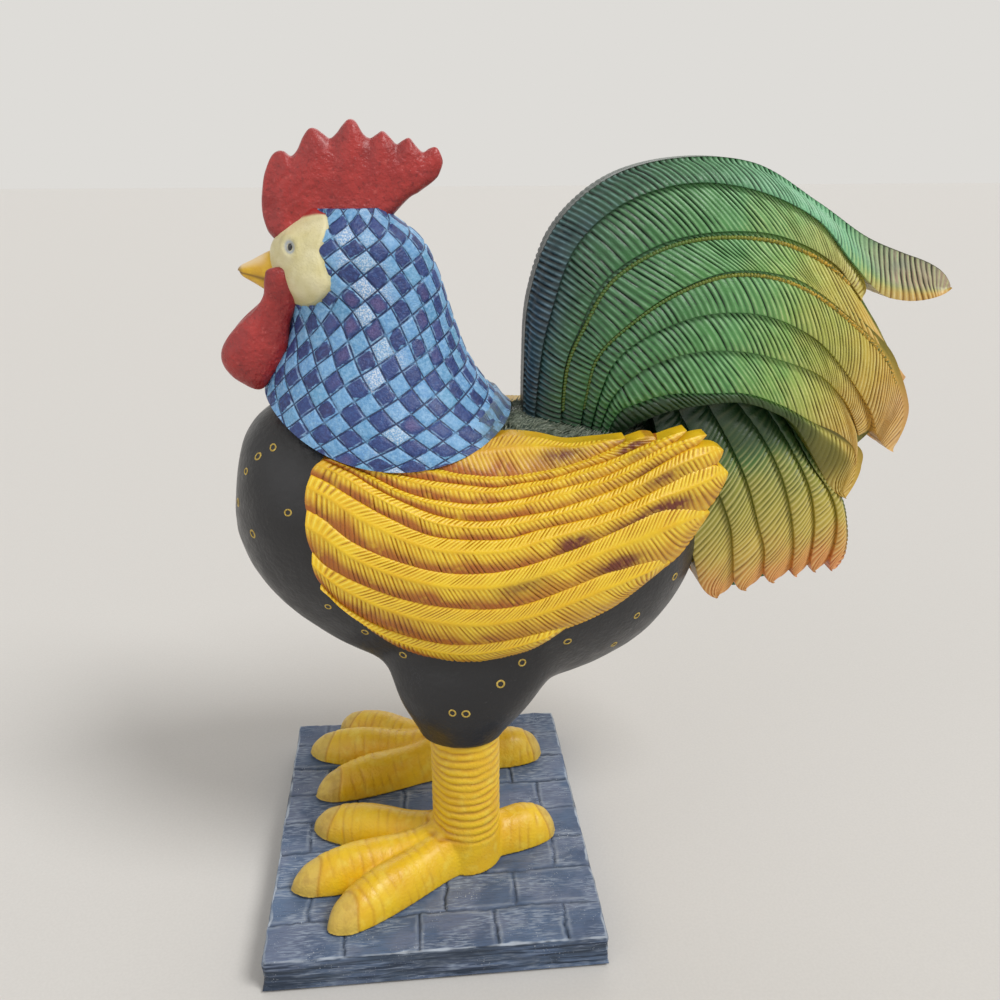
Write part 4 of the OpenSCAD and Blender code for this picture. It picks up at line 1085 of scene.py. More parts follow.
def wing_mesh(side, sizes):
    """A wing of long feathers over a plain bed that fills the notches between their ends."""
    shell = Shell()

    def place(flat, along, across):
        x, z = flat[..., 0], flat[..., 1]
        # The front edge of each feather is rounded, so that the whole edge runs in one curve
        x = x - 1.4 * np.sin(np.pi * np.clip(across, 0, 1)) * ease(0.05, 0.0, along)
        return np.stack([x, BIRD_Y + side * (wing_y(x, z) - 1.6), z], -1)

    def lean(way, spine, axis):
        return np.radians(56 if way == 0 else 38) + 0 * axis

    def shade(along, across, points):
        # Painted shade: the ochre deepens towards the lower edge of each feather, where it dives under the
        # next and is partly wash, and under the cape, where it is shade alone
        deep = ease(0.36, 0.8, across + 0.16 * lumps(points, 9, 41)) * (0.5 + 0.7 * ease(0.8, 0.35, along))
        under_cape = 0.5 * ease(252, 262, points[..., 2]) * ease(70, 30, points[..., 0])
        return np.clip(deep + under_cape, 0, 1)

    def pool(along, across, points):
        far = points[..., 0] * 0.96 + points[..., 2] * 0.27
        aside = points[..., 2] * 0.96 - points[..., 0] * 0.27
        total = sum(np.exp(-((far - x * 0.96 - z * 0.27) / reach) ** 2
                           - ((aside - z * 0.96 + x * 0.27) / 4.2) ** 2) for x, z, reach in WING_POOLS)
        return np.clip(1.5 * total * ease(0.15, 0.6, across), 0, 1)

    def everywhere(along, across, points):
        return 1

    def nowhere(along, across, points):
        return 0

    inward, middle = np.array([0, -side * 9, 0]), [50, BIRD_Y, 200]
    # The bed shows only in the notches between the feather ends, and is washed all over as painted shade
    feather(shell, (WING_TOP, WING_LOW), (144, 250), place, middle, lean, 12, 0.5, [-0.6] * 5, 0, 0.12,
            under=inward, shade=everywhere, pool=nowhere)
    for number, tip in enumerate(WING_TIPS):
        lower = WING_LINES[number + 1]
        if number in WING_LOWER_ENDS:
            ends = WING_LOWER_ENDS[number]
            lower = [point for point in lower if point[0] < ends[0][0] - 9] + ends
        feather(shell, (WING_LINES[number], lower), tip, place, middle, lean, sizes.wing_barbs / MM, 0.3,
                [1.3, 2.05, 2.25, 2.1, 1.65, 0.9, -0.5], 0.5, 0.1, tuck=(0.02, 0.16), ridge=0.3,
                under=inward, seed=40 + number, shade=shade, pool=pool)
    return shell.mesh("wing")


# The tail

# Lines along which two tail feathers meet, from the root to the tip: shares of the tail's size,
# back and up. Lines 0, 1 and 7 stop short, since the feathers beside them have ends of their own
TAIL_ROWS = [
    [(0, -0.12), (0, 0.19), (0.01, 0.47), (0.06, 0.73), (0.17, 0.91), (0.32, 0.985), (0.49, 0.965),
     (0.64, 0.82)],
    [(0.02, -0.12), (0.03, 0.2), (0.05, 0.41), (0.1, 0.67), (0.2, 0.83), (0.34, 0.9), (0.49, 0.87),
     (0.63, 0.76)],
    [(0.08, -0.12), (0.08, 0.19), (0.11, 0.37), (0.16, 0.55), (0.26, 0.67), (0.37, 0.72), (0.5, 0.72),
     (0.6, 0.67), (0.68, 0.59), (0.72, 0.52), (0.75, 0.46)],
    [(0.12, -0.12), (0.13, 0.12), (0.15, 0.27), (0.22, 0.4), (0.31, 0.51), (0.42, 0.58), (0.53, 0.57),
     (0.63, 0.5), (0.73, 0.38), (0.84, 0.2), (0.895, -0.02)],
    [(0.14, -0.12), (0.16, 0.11), (0.19, 0.25), (0.26, 0.35), (0.37, 0.42), (0.49, 0.42), (0.59, 0.36),
     (0.68, 0.25), (0.75, 0.13), (0.8, 0), (0.83, -0.12)],
    [(0.16, -0.12), (0.18, 0.07), (0.22, 0.17), (0.28, 0.24), (0.37, 0.28), (0.48, 0.27), (0.58, 0.22),
     (0.66, 0.16), (0.72, 0.07), (0.76, -0.02), (0.79, -0.13)],
    [(0.17, -0.14), (0.2, 0.02), (0.24, 0.07), (0.31, 0.11), (0.4, 0.11), (0.49, 0.1), (0.58, 0.04),
     (0.66, -0.04), (0.73, -0.1), (0.78, -0.18), (0.795, -0.28)],
    [(0.19, -0.16), (0.23, -0.05), (0.27, 0), (0.33, 0.04), (0.41, 0.06), (0.48, 0.06), (0.55, 0.02),
     (0.62, -0.06)]]
TAIL_TIPS = [(0.974, 0.487), (0.76, 0.44), (0.885, 0.13), (0.885, -0.205), (0.79, -0.12),
             (0.79, -0.24), (0.785, -0.415)]
# Where the outer or inner edge of a tail feather ends in its own way
TAIL_OUTER_ENDS = {0: [(0.755, 0.69), (0.85, 0.62), (0.93, 0.575), (0.958, 0.545)], 1: [(0.72, 0.6),
                   (0.79, 0.48)], 3: [(0.8, 0.27), (0.865, 0.11), (0.9, -0.03), (0.905, -0.13)],
                   6: [(0.78, -0.18), (0.8, -0.28), (0.8, -0.36)]}
TAIL_INNER_ENDS = {0: [(0.72, 0.6), (0.8, 0.47), (0.87, 0.435), (0.942, 0.43)], 2: [(0.8, 0.27),
                   (0.86, 0.13), (0.87, 0.06)], 3: [(0.8, 0), (0.83, -0.12), (0.85, -0.18)],
                   6: [(0.7, -0.26), (0.73, -0.34), (0.745, -0.385)]}
# How far out each line stands, and how a feather thins along its length, as shares of FAN_REACH
TAIL_RISES = [0.3, 0.6, 0.78, 0.9, 0.96, 0.98, 0.96, 0.9]
TAIL_TAPER = [0.62, 0.88, 0.97, 0.9, 0.8, 0.66, 0.5]
TAIL_SIZE = np.array([222.0, 123.0])
# The same for the lower feathers, whose shares count downwards
COVERT_ROWS = [
    [(0.28, -0.06), (0.32, 0.25), (0.36, 0.48), (0.4, 0.69), (0.43, 0.88), (0.452, 0.97)],
    [(0.33, -0.09), (0.4, 0.18), (0.45, 0.38), (0.49, 0.57), (0.51, 0.76), (0.525, 0.955)],
    [(0.4, -0.1), (0.47, 0.14), (0.52, 0.34), (0.56, 0.56), (0.59, 0.73), (0.6, 0.92)],
    [(0.47, -0.09), (0.55, 0.12), (0.61, 0.34), (0.65, 0.57), (0.67, 0.76), (0.67, 0.9)],
    [(0.54, -0.07), (0.62, 0.17), (0.68, 0.38), (0.71, 0.57), (0.72, 0.74), (0.72, 0.88)],
    [(0.6, 0), (0.68, 0.27), (0.74, 0.43), (0.77, 0.57), (0.78, 0.73), (0.77, 0.87)],
    [(0.65, 0.12), (0.72, 0.32), (0.78, 0.47), (0.81, 0.64), (0.82, 0.78), (0.81, 0.89)]]
COVERT_TIPS = [(0.485, 0.99), (0.56, 0.957), (0.632, 0.927), (0.692, 0.907), (0.742, 0.892), (0.788, 0.897)]
COVERT_RISES = [0.85, 0.8, 0.72, 0.64, 0.56, 0.48, 0.4]
COVERT_TAPER = [0.6, 0.9, 1, 0.95, 0.8, 0.6]
COVERT_SIZE = np.array([222.0, -108.0])
FAN_REACH = 30
# Where the twisted shafts lie across their feathers, in the band that has no barbs
SHAFT_FEATHERS, SHAFT_BAND = (2, 3), 0.11


def fan_place(side, number, rises, taper):
    """Turns flat points of one feather of a fan into points on the bird, tucked under the next one."""
    def place(flat, along, across):
        rise = rises[number] + (rises[number + 1] - rises[number]) * across
        out = np.maximum(FAN_REACH * smooth(taper, along) * rise - 2.2 * (1 - across), 6.5)
        return np.stack([TAIL_X + flat[..., 0], BIRD_Y + side * out, TAIL_Z + flat[..., 1]], -1)
    return place


def fan(side, edges, tips, rises, taper, size, tip_share, sizes, barb_way, **painted):
    """A fan of feathers that overlap, on one side of the tail's plate."""
    shell = Shell()

    def lean(way, spine, axis):
        return np.clip(barb_way(spine[:, 0] / size[0]) - (axis - np.pi / 2), -0.6, 0.95) * (way == 1)

    for number, tip in enumerate(tips):
        outer, inner = (np.array(line) * size for line in edges[number])
        # The first feather has no bare band, and lies on the plate
        shaft, tucked, bare, floor = (0.02, 0.14, 0.13, 3.5) if number else (-0.1, 0.02, -0.1, 0.2)
        rules = {key: rule(number) for key, rule in painted.items()}
        feather(shell, (outer, inner), np.array(tip) * size, fan_place(side, number, rises, taper),
                [170, BIRD_Y, 300], lean, sizes.tail_barbs / MM, shaft,
                [-0.4, -0.1, 0.9, 1.35, 1.45, 1.2, 0.6], 0.72, tip_share, tuck=(tucked, 0.0), bare=bare,
                floor=BIRD_Y + side * floor, seed=60 + number, **rules)
    return shell.mesh("fan")


def tail_share(points):
    """How far back in the tail a point lies: its colours change from front to back."""
    return (points[..., 0] - TAIL_X) / TAIL_SIZE[0]


def tail_mesh(side, sizes):
    """The large fan of one side, blended from slate at the front to gold at the tips."""
    def hue(number):
        def rule(along, across, points):
            share = tail_share(points)
            drift = 0.03 * lumps(points, 26, 61) + 0.02 * lumps(points, 7, 62)
            if number == 0:
                return 0.62 * share + 0.3 * ease(0.6, 0.95, across) * ease(0.66, 0.8, share) + drift
            return share + [0, 0.03, 0.03, 0, 0.03, 0.04, 0.02][number] + 0.04 * (across - 0.5) + drift
        return rule

    def pale(number):
        # A pale mint band across the tail, partly its own colour and partly painted highlight, strongest on
        # the top feather
        amount = {0: 0.8, 1: 0.35}.get(number, 0.15)
        return lambda along, across, points: amount * np.exp(-((tail_share(points) - 0.62) / 0.17) ** 2)

    def shade(number):
        def rule(along, across, points):
            # The outer wall of the top feather is darkened as painted shade
            if number == 0:
                return 0.85 * ease(0.02, 0, across)
            # Painted shade darkens the bare band under the edge of the feather above, the root, and the
            # underside of the lowest feather
            band = 0.95 * ease(0.17, 0.09, across) * ease(1.02, 0.8, along)
            under = (0.95 if number == 6 else 0) * ease(0.2, 0.42, across) * ease(0.99, 0.88, along)
            return np.clip(band + 0.5 * ease(0.12, 0.0, along) + under, 0, 1)
        return rule

    def blush(number):
        return lambda along, across, points: (
            (number == 0) * ease(0.7, 0.86, tail_share(points)) * ease(0.95, 0.6, across))

    def barb_way(share):
        return np.radians(np.interp(share, [0, 0.25, 0.5, 0.9], [-22, -36, -52, -66]))

    edges = []
    for number in range(len(TAIL_TIPS)):
        outer, inner = list(TAIL_ROWS[number]), list(TAIL_ROWS[number + 1])
        for line, ends in ((outer, TAIL_OUTER_ENDS.get(number)), (inner, TAIL_INNER_ENDS.get(number))):
            if ends:
                line[8:] = ends
        edges.append((outer, inner))
    return fan(side, edges, TAIL_TIPS, TAIL_RISES, TAIL_TAPER, TAIL_SIZE, 0.06, sizes, barb_way,
               hue=hue, pale=pale, blush=blush, shade=shade)


def covert_mesh(side, sizes):
    """The fan of lower feathers of one side, which hangs under the tail."""
    def shade(number):
        # Painted shade between the feathers, and where the tail hangs over them
        return lambda along, across, points: np.maximum(
            0.9 * ease(0.2, 0.08, across) * ease(1.0, 0.75, along), 0.92 * ease(0.4, 0.24, along))

    def hue(number):
        return lambda along, across, points: (
            along - 0.02 * number + 0.06 * lumps(points, 15, 71) + 0.03 * lumps(points, 5, 72))

    def barb_way(share):
        return np.radians(-122) + 0 * share

    edges = list(zip(COVERT_ROWS[::-1], COVERT_ROWS[-2::-1]))
    return fan(side, edges, COVERT_TIPS[::-1], COVERT_RISES[::-1], COVERT_TAPER, COVERT_SIZE, 0.1, sizes,
               barb_way, hue=hue, shade=shade)


def shaft_points(side, number):
    """A line of points along the upper edge of a tail feather, in the band that has no barbs."""
    along = np.linspace(0.08, 0.93, 160)
    outer, inner = (smooth(even(np.array(line) * TAIL_SIZE, 300), along)
                    for line in TAIL_ROWS[number:number + 2])
    place = fan_place(side, number, TAIL_RISES, TAIL_TAPER)
    return place(outer + (inner - outer) * SHAFT_BAND, along, SHAFT_BAND + 0 * along) + [0, side * 0.9, 0]


def rope_tree():
    """Geometry Nodes: slanting beads along a line, which read as a twisted shaft."""
    tree, given = new_tree("twisted_shafts", "Line", ("Bead spacing", "Shaft thickness"), "Shaft")
    line = add(tree, "GeometryNodeMeshToCurve", {0: given["Line"]})
    even_line = add(tree, "GeometryNodeResampleCurve", {
        "Curve": line.outputs[0], "Length": given["Bead spacing"]}, mode="LENGTH")
    tangent = add(tree, "GeometryNodeInputTangent")
    turn = add(tree, "FunctionNodeAlignRotationToVector", {"Vector": tangent.outputs[0]}, axis="X")
    twist = add(tree, "FunctionNodeRotateRotation", {
        0: turn.outputs[0], 1: Euler((0, math.radians(38), 0))}, rotation_space="LOCAL")
    bead = add(tree, "GeometryNodeMeshUVSphere", {"Segments": 8, "Rings": 5, "Radius": 1.0})
    shape = add(tree, "GeometryNodeTransform", {0: bead.outputs[0], "Scale": (0.75, 0.62, 0.62)})
    thick = add(tree, "ShaderNodeCombineXYZ", {axis: given["Shaft thickness"] for axis in (0, 1, 2)})
    return set_down(tree, given, even_line.outputs[0], shape.outputs[0], twist.outputs[0], thick.outputs[0])


# The neck cape and the head

# Front, back and half width of the neck from the cape's foot to its top, as shares of its size
CAPE_FRONT = [0, 0.04, 0.09, 0.135, 0.185, 0.2, 0.155, 0.175, 0.29]
CAPE_BACK = [1.02, 0.93, 0.82, 0.75, 0.71, 0.68, 0.65, 0.6, 0.49]
CAPE_SIDE = [1, 0.93, 0.8, 0.66, 0.54, 0.47, 0.45, 0.4, 0.2]
HEM_X, HEM_Z, HEM_RADIUS = BODY_X + 0.362 * BODY_LENGTH, CAPE_Z + 0.86 * CAPE_HEIGHT, 97.0
CHECK_SIZE = 9.5


def cape_point(turn, up):
    """A point of the cape's skin at an angle from its back and a share of its height."""
    front, back = (CAPE_X + CAPE_LENGTH * smooth(line, up) for line in (CAPE_FRONT, CAPE_BACK))
    half = CAPE_WIDTH / 2 * smooth(CAPE_SIDE, up)
    return np.stack([(front + back) / 2 + (back - front) / 2 * np.cos(turn), BIRD_Y + half * np.sin(turn),
                     CAPE_Z + CAPE_HEIGHT * up + 0 * turn], -1)


def check_place(turn, up):
    """Where a point lies in the field of checks, in squares.

    The squares are given: they grow towards the hem, and their rows sink towards the front.
    """
    turned = np.abs(np.arctan2(np.sin(turn), np.cos(turn)))
    back, up = np.broadcast_arrays(1 - turned / (np.pi / 2), up)
    across = (3.7 + 8.1 * back - 3.65 * up + 1.25 * up**2 - 1.2 * up**3 - 6 * back * up
              + 2.35 * back * up**2 - 0.35 * back**2 * up)
    down = (10.15 - 1.7 * back - 1.65 * back**2 - 15.8 * up + 12.9 * up**2 - 8.15 * up**3
            - 0.4 * back * up + 2.65 * back * up**2 + 0.15 * back**2 * up)
    return np.stack([across + down + 0.5, across - down + 0.5], -1)


def cape_mesh(sizes):
    """The cape from its round hem up to the head, with the lines between its checks engraved."""
    turn = np.linspace(0, 2 * np.pi, 430, endpoint=False)[None]
    # Where the skin crosses the round cut of the hem
    low, high = np.zeros_like(turn), np.full_like(turn, 0.6)
    for _ in range(30):
        middle = (low + high) / 2
        tried = cape_point(turn, middle)
        outside = np.hypot(tried[..., 0] - HEM_X, tried[..., 2] - HEM_Z) > HEM_RADIUS
        low, high = np.where(outside, middle, low), np.where(outside, high, middle)
    hem = high
    share = np.linspace(0, 1, 216)[:, None] ** 0.95
    up = hem + (0.985 - hem) * share
    skin = cape_point(turn, up)
    out = outward(skin, [-20, BIRD_Y, 300])
    place = check_place(turn, up)
    place = place + 0.08 * np.stack([lumps(place, 2.1, 80), lumps(place, 2.1, 81)], -1)
    gap = np.abs(place - np.round(place)).min(-1) * CHECK_SIZE
    relief = (0.25 * ease(0, 1.8, gap) - sizes.check_depth / MM * np.exp(-(gap / 0.75) ** 2)
              + 0.3 * lumps(skin, 9, 82) - 0.2)
    top = skin + out * (relief * ease(0.0, 0.02, share) * ease(0, 0.03, 1 - share))[..., None]
    # The hem turns under and goes in to the body, and has the values of the cape's lowest row
    inner, centre = cape_point(turn, hem), np.array([HEM_X, BIRD_Y, 300.0])
    turned = [inner + (centre - inner) * share_in + [0, 0, rise]
              for share_in, rise in ((0.12, 4.0), (0.06, 1.2), (0.02, -0.2))]
    x, z = skin[..., 0], skin[..., 2]
    values = {
        # A band of pale glitter down the side, partly painted highlight
        "glitter_and_highlight": ease(14, 5, np.abs(x + 21 - (330 - z) * 0.16)),
        "plum": ease(34, 10, np.abs(x + 14)) * ease(0.3, -0.1, lumps(skin, 22, 83)) * ease(345, 325, z),
        "dusk": (0.85 * ease(9, 0, z - 267 + 2 * lumps(skin, 6, 85))
                 * ease(24, 36, x + 3 * lumps(skin, 7, 84))),
        "checks": np.concatenate([place, 0 * place[..., :1]], -1)}
    shell = Shell()
    shell.tube(np.concatenate(turned + [top]), **{
        key: np.concatenate([value[:1]] * 3 + [value]) for key, value in values.items()})
    return shell.mesh("cape")


# The outline of the cream face: along and up
FACE_EDGE = [(-60, 371), (-46, 368.5), (-38.5, 364.8), (-39.4, 358), (-41.6, 350.6), (-39.4, 342),
             (-38, 336), (-41.5, 330.5), (-48, 326.3), (-57, 325.2), (-66, 327), (-95, 335),
             (-95, 371)]
# The middle of a cheek, with its distance from the bird's middle plane, and that of the left eye
CHEEK = np.array([-47.0, 11.2, 337.5])
EYE = np.array([-55.1, -8.6, 352.0])
# The lower edge of the comb's foot on the face: along and up
FOOT_LINE = [-68, -60, -52, -44, -36], [354, 359.5, 363, 365, 366.5]


def inside_share(x, z, outline, soft):
    """1 inside a closed outline and 0 outside it, turning over a soft width."""
    ring = even(outline + outline[:1], 200)
    near = np.full(x.shape, 1e9)
    odd = np.zeros(x.shape, bool)
    for (x0, z0), (x1, z1) in zip(ring[:-1], ring[1:]):
        size = (x1 - x0) ** 2 + (z1 - z0) ** 2 + 1e-9
        share = np.clip(((x - x0) * (x1 - x0) + (z - z0) * (z1 - z0)) / size, 0, 1)
        near = np.minimum(near, np.hypot(x - x0 - share * (x1 - x0), z - z0 - share * (z1 - z0)))
        odd ^= ((z0 > z) != (z1 > z)) & (x < (x1 - x0) * (z - z0) / (z1 - z0 + 1e-12) + x0)
    return ease(-soft, soft, np.where(odd, near, -near))


def face_mesh():
    """The face with its cheeks and the rims of its eyes, laid over the front of the neck."""
    turn = np.radians(np.linspace(180 - 112, 180 + 112, 240))[None]
    skin = cape_point(turn, np.linspace(0.58, 0.99, 150)[:, None])
    out = outward(skin, [-20, BIRD_Y, 340])
    x, z = skin[..., 0], skin[..., 2]
    inside = inside_share(x + 0.5 * lumps(skin, 5, 90), z + 0.5 * lumps(skin, 5, 91), FACE_EDGE, 1.5)
    high = -1.1 + 1.75 * inside
    for side, _ in SIDES:
        middle = CHEEK * [1, side, 1] + [0, BIRD_Y, 0]
        far = np.linalg.norm((skin - middle)[..., [0, 2]] * [1, 0.9], axis=-1)
        high += inside * 3.4 * ease(14, 2, far) * ((skin[..., 1] - BIRD_Y) * side > 0)
    eye_far = np.hypot((x - EYE[0]) / 0.85, z - EYE[2])
    high += inside * (0.7 * np.exp(-((eye_far - 4.2) / 1.6) ** 2) - 0.3 * ease(2.5, 0, eye_far))
    high += inside * (0.3 * lumps(skin, 9, 92) + 0.12 * lumps(skin, 3, 93))
    # The foot of the comb runs out over the top of the face
    foot = z - np.interp(x + lumps(skin, 6, 99), *FOOT_LINE)
    high += 0.9 * inside * ease(-0.8, 1.5, foot)
    top = skin + out * high[..., None]
    back = skin[:, ::-1] - out[:, ::-1] * 6
    # Painted shade: darker under the cheeks and towards the edge of the face, and in random patches
    shade = (ease(335, 325, z) * 0.6 + 0.35 * ease(0.8, 0.4, inside)
             + 0.25 * ease(0.2, 0.7, lumps(skin, 6, 94)))
    values = {"shade": np.clip(shade, 0, 1), "foot": ease(-0.5, 0.5, foot),
              "eye": np.exp(-((eye_far - 2.1) / 0.7) ** 2) * 0.85}
    shell = Shell()
    shell.tube(np.concatenate([top, back], 1), **{
        key: np.concatenate([value, 0 * value], 1) for key, value in values.items()})
    return shell.mesh("face")


def eye_mesh():
    """Two small beads, a little higher than they are wide."""
    shell = Shell()
    for side, _ in SIDES:
        up = np.linspace(-1, 1, 14)[1:-1, None]
        turn = np.linspace(0, 2 * np.pi, 20, endpoint=False)[None]
        x = EYE[0] + 1.45 * np.sqrt(1 - up**2) * np.cos(turn)
        y = BIRD_Y + side * (BIRD_Y - EYE[1] + 0.1) + 1.5 * np.sqrt(1 - up**2) * np.sin(turn)
        shell.tube(np.stack([x, y, EYE[2] + 2.1 * up + 0 * turn], -1))
    return shell.mesh("eyes")


def beak_mesh():
    """The bill, with a line between its upper and lower half and a hooked tip."""
    share = np.linspace(0, 1, 70)[:, None]
    turn = np.linspace(0, 2 * np.pi, 72, endpoint=False)[None]
    high = (8.5 * smooth([1.35, 1.38, 1.2, 0.88, 0.54, 0.26], share)
            * np.sqrt(np.clip(1 - ((share - 0.9) / 0.1).clip(0, 1) ** 2, 0.02, 1)))
    lift = 17 * smooth([-0.06, -0.05, -0.01, 0.02, 0.04, 0.05], share)
    mouth = np.exp(-((np.sin(turn) + 0.28) / 0.12) ** 2) * (np.abs(np.cos(turn)) > 0.2)
    cut = 1 - 0.07 * mouth * ease(0.2, 0.4, share)
    hook = 0.8 * np.maximum(np.sin(turn), 0) * ease(0.7, 1, share)
    x = CAPE_X + 0.165 * CAPE_LENGTH + 8 - 25 * share - hook
    rings = np.stack([x + 0 * turn, BIRD_Y + 0.85 * high * cut * np.cos(turn),
                      CAPE_Z + 0.74 * CAPE_HEIGHT + lift + high * cut * np.sin(turn)], -1)
    shell = Shell()
    # pale is a painted highlight along the top of the bill; shade darkens the mouth line and the tip
    shell.tube(rings, pale=ease(0.3, 0.9, np.sin(turn)) * ease(0.35, 0.6, share) * 0.9 + 0 * share,
               shade=np.clip(0.8 * mouth * ease(0.3, 0.5, share) + 0.75 * ease(0.9, 1, share), 0, 1))
    return shell.mesh("beak")


# Upper and lower edge of the comb from front to back, as shares of its height
COMB_TOP = [0.4, 0.56, 0.68, 0.73, 0.73, 0.69, 0.74, 0.85, 0.92, 0.92, 0.88, 0.84, 0.88, 0.95, 1, 0.98,
            0.88, 0.84, 0.87, 0.9, 0.85, 0.79, 0.82, 0.84, 0.77, 0.72, 0.75, 0.76, 0.71]
COMB_LOW = [0.08, 0, -0.07, -0.12, -0.16, -0.18, -0.18, -0.15, -0.12, -0.11, -0.1, -0.08, -0.07, -0.07,
            -0.06, -0.03, 0, 0, 0.05, 0.1, 0.16, 0.22, 0.28, 0.33, 0.36, 0.4, 0.44, 0.49, 0.56]
COMB_X, COMB_Z = BODY_X + 0.11 * BODY_LENGTH, CAPE_Z + 0.885 * CAPE_HEIGHT
COMB_LENGTH, COMB_HEIGHT, COMB_HALF_WIDTH = 84, 50, 8
WATTLE_X, WATTLE_Z, WATTLE_HEIGHT = BODY_X + 0.077 * BODY_LENGTH, CAPE_Z + 0.285 * CAPE_HEIGHT, 59


def closing(share, end):
    """Rounds both ends of a loft, each over a share of its length."""
    return np.sqrt(np.clip(1 - ((np.abs(share - 0.5) - (0.5 - end)).clip(0) / end) ** 2, 0.03, 1))


def bent(value, power):
    """A sine or cosine bent to a power, which makes a round section squarer or sharper."""
    return np.sign(value) * np.abs(value) ** power


def comb_mesh():
    """The comb, which is thicker at its foot, with a swelling towards each of its points."""
    share = np.linspace(0, 1, 230)[:, None]
    turn = np.linspace(0, 2 * np.pi, 110, endpoint=False)[None]
    high, low = (COMB_Z + COMB_HEIGHT * smooth(line, share) for line in (COMB_TOP, COMB_LOW))
    half = COMB_HALF_WIDTH * smooth([0.5, 0.9, 1, 1, 1, 0.95, 0.85, 0.7, 0.3], share)
    half = half * (1 + 0.6 * ease(-0.1, -0.9, np.sin(turn)) * ease(0.75, 0.5, share))
    end = closing(share, 0.03)
    skin = np.stack([COMB_X + COMB_LENGTH * share + 0 * turn,
                     BIRD_Y + half * end * bent(np.cos(turn), 0.8),
                     (high + low) / 2 + (high - low) / 2 * end * bent(np.sin(turn), 0.9)], -1)
    # Each point of the comb swells a little towards its side, with a shallow fold between two
    swell = np.cos(2 * np.pi * (share * 6.2 - 0.2)) * ease(0.1, 0.9, np.sin(turn))
    bump = 0.55 * swell + 0.4 * lumps(skin, 8, 95) + 0.22 * lumps(skin, 3, 96) - 0.5
    skin[..., 1] += bent(np.cos(turn), 0.5) * bump
    # Painted shade in the folds between the points and along the comb's underside
    shade = (0.25 * (0.4 - swell) * ease(0.2, 0.8, np.sin(turn))
             + 0.5 * ease(-0.5, -1, np.sin(turn)))
    shell = Shell()
    shell.tube(skin, shade=np.clip(shade, 0, 1))
    return shell.mesh("comb")


def wattle_mesh(side):
    """One wattle, a drop of flesh that hangs beside the beak."""
    share = np.linspace(0, 1, 120)[:, None]
    turn = np.linspace(0, 2 * np.pi, 64, endpoint=False)[None]
    half = 15.5 * smooth([0.2, 0.61, 0.9, 1, 0.92, 0.76, 0.6, 0.5, 0.48, 0.35], share)
    thick = 8.5 * smooth([0.3, 0.7, 0.95, 1, 0.9, 0.75, 0.62, 0.55, 0.5, 0.4], share)
    shift = 31 * smooth([0, -0.06, -0.05, 0, 0.08, 0.2, 0.37, 0.47, 0.5, 0.48], share)
    aside = 8.9 + 5.5 * ease(0.55, 0.95, share)
    end = closing(share, 0.04)
    skin = np.stack([WATTLE_X + shift + half * end * np.cos(turn),
                     BIRD_Y + side * aside + 0.94 * thick * end * np.sin(turn),
                     WATTLE_Z + WATTLE_HEIGHT * share + 0 * turn], -1)
    skin[..., 1] += np.sin(turn) * (0.3 * lumps(skin, 9, 97) + 0.12 * lumps(skin, 3, 98) - 0.3)
    # Painted shade at the wattle's lower end and where it hangs from the head
    shade = 0.35 * ease(0.25, 0.0, share) + 0.3 * ease(0.7, 1.0, share) + 0 * turn
    shell = Shell()
    shell.tube(skin, shade=np.clip(shade, 0, 1))
    return shell.mesh("wattle")


# Settings, operators and panel

RING_LINE, STRAND_THICKNESS, BEAD_SPACING = 0.0009, 0.0006, 0.0016


def length_setting(name, description, default, least, most):
    """A length that the panel can change, in m."""
    return bpy.props.FloatProperty(name=name, description=description, default=default,
                                   min=least, max=most, unit="LENGTH")


def colour_setting(name, description, default):
    """A colour that the panel can change, given as a hex value."""
    return bpy.props.FloatVectorProperty(name=name, description=description, default=linear(default),
                                         subtype="COLOR", size=4, min=0, max=1)


class RoosterSizes(bpy.types.PropertyGroup):
    joint_depth: length_setting("Brick joint depth", "Depth of the joints cut in the slab",
                                0.0011, 0.0003, 0.0025)
    wrinkles: bpy.props.IntProperty(name="Wrinkles", description="Number of wrinkles round a shank",
                                    default=13, min=6, max=20)
    wing_barbs: length_setting("Wing barb spacing", "Distance between wing barbs", 0.0022, 0.0012, 0.004)
    tail_barbs: length_setting("Tail barb spacing", "Distance between tail barbs", 0.0029, 0.0018, 0.006)
    check_depth: length_setting("Check line depth", "Depth of the lines between checks",
                                0.0005, 0.0001, 0.0012)
    tuft_length: length_setting("Tuft length", "Length of a strand on the saddle", 0.0042, 0.001, 0.008)
    ring_size: length_setting("Ring diameter", "Diameter of a gold ring on the body", 0.0034, 0.001, 0.01)
    shaft_size: length_setting("Shaft thickness", "Thickness of a twisted tail shaft",
                               0.0016, 0.0008, 0.004)


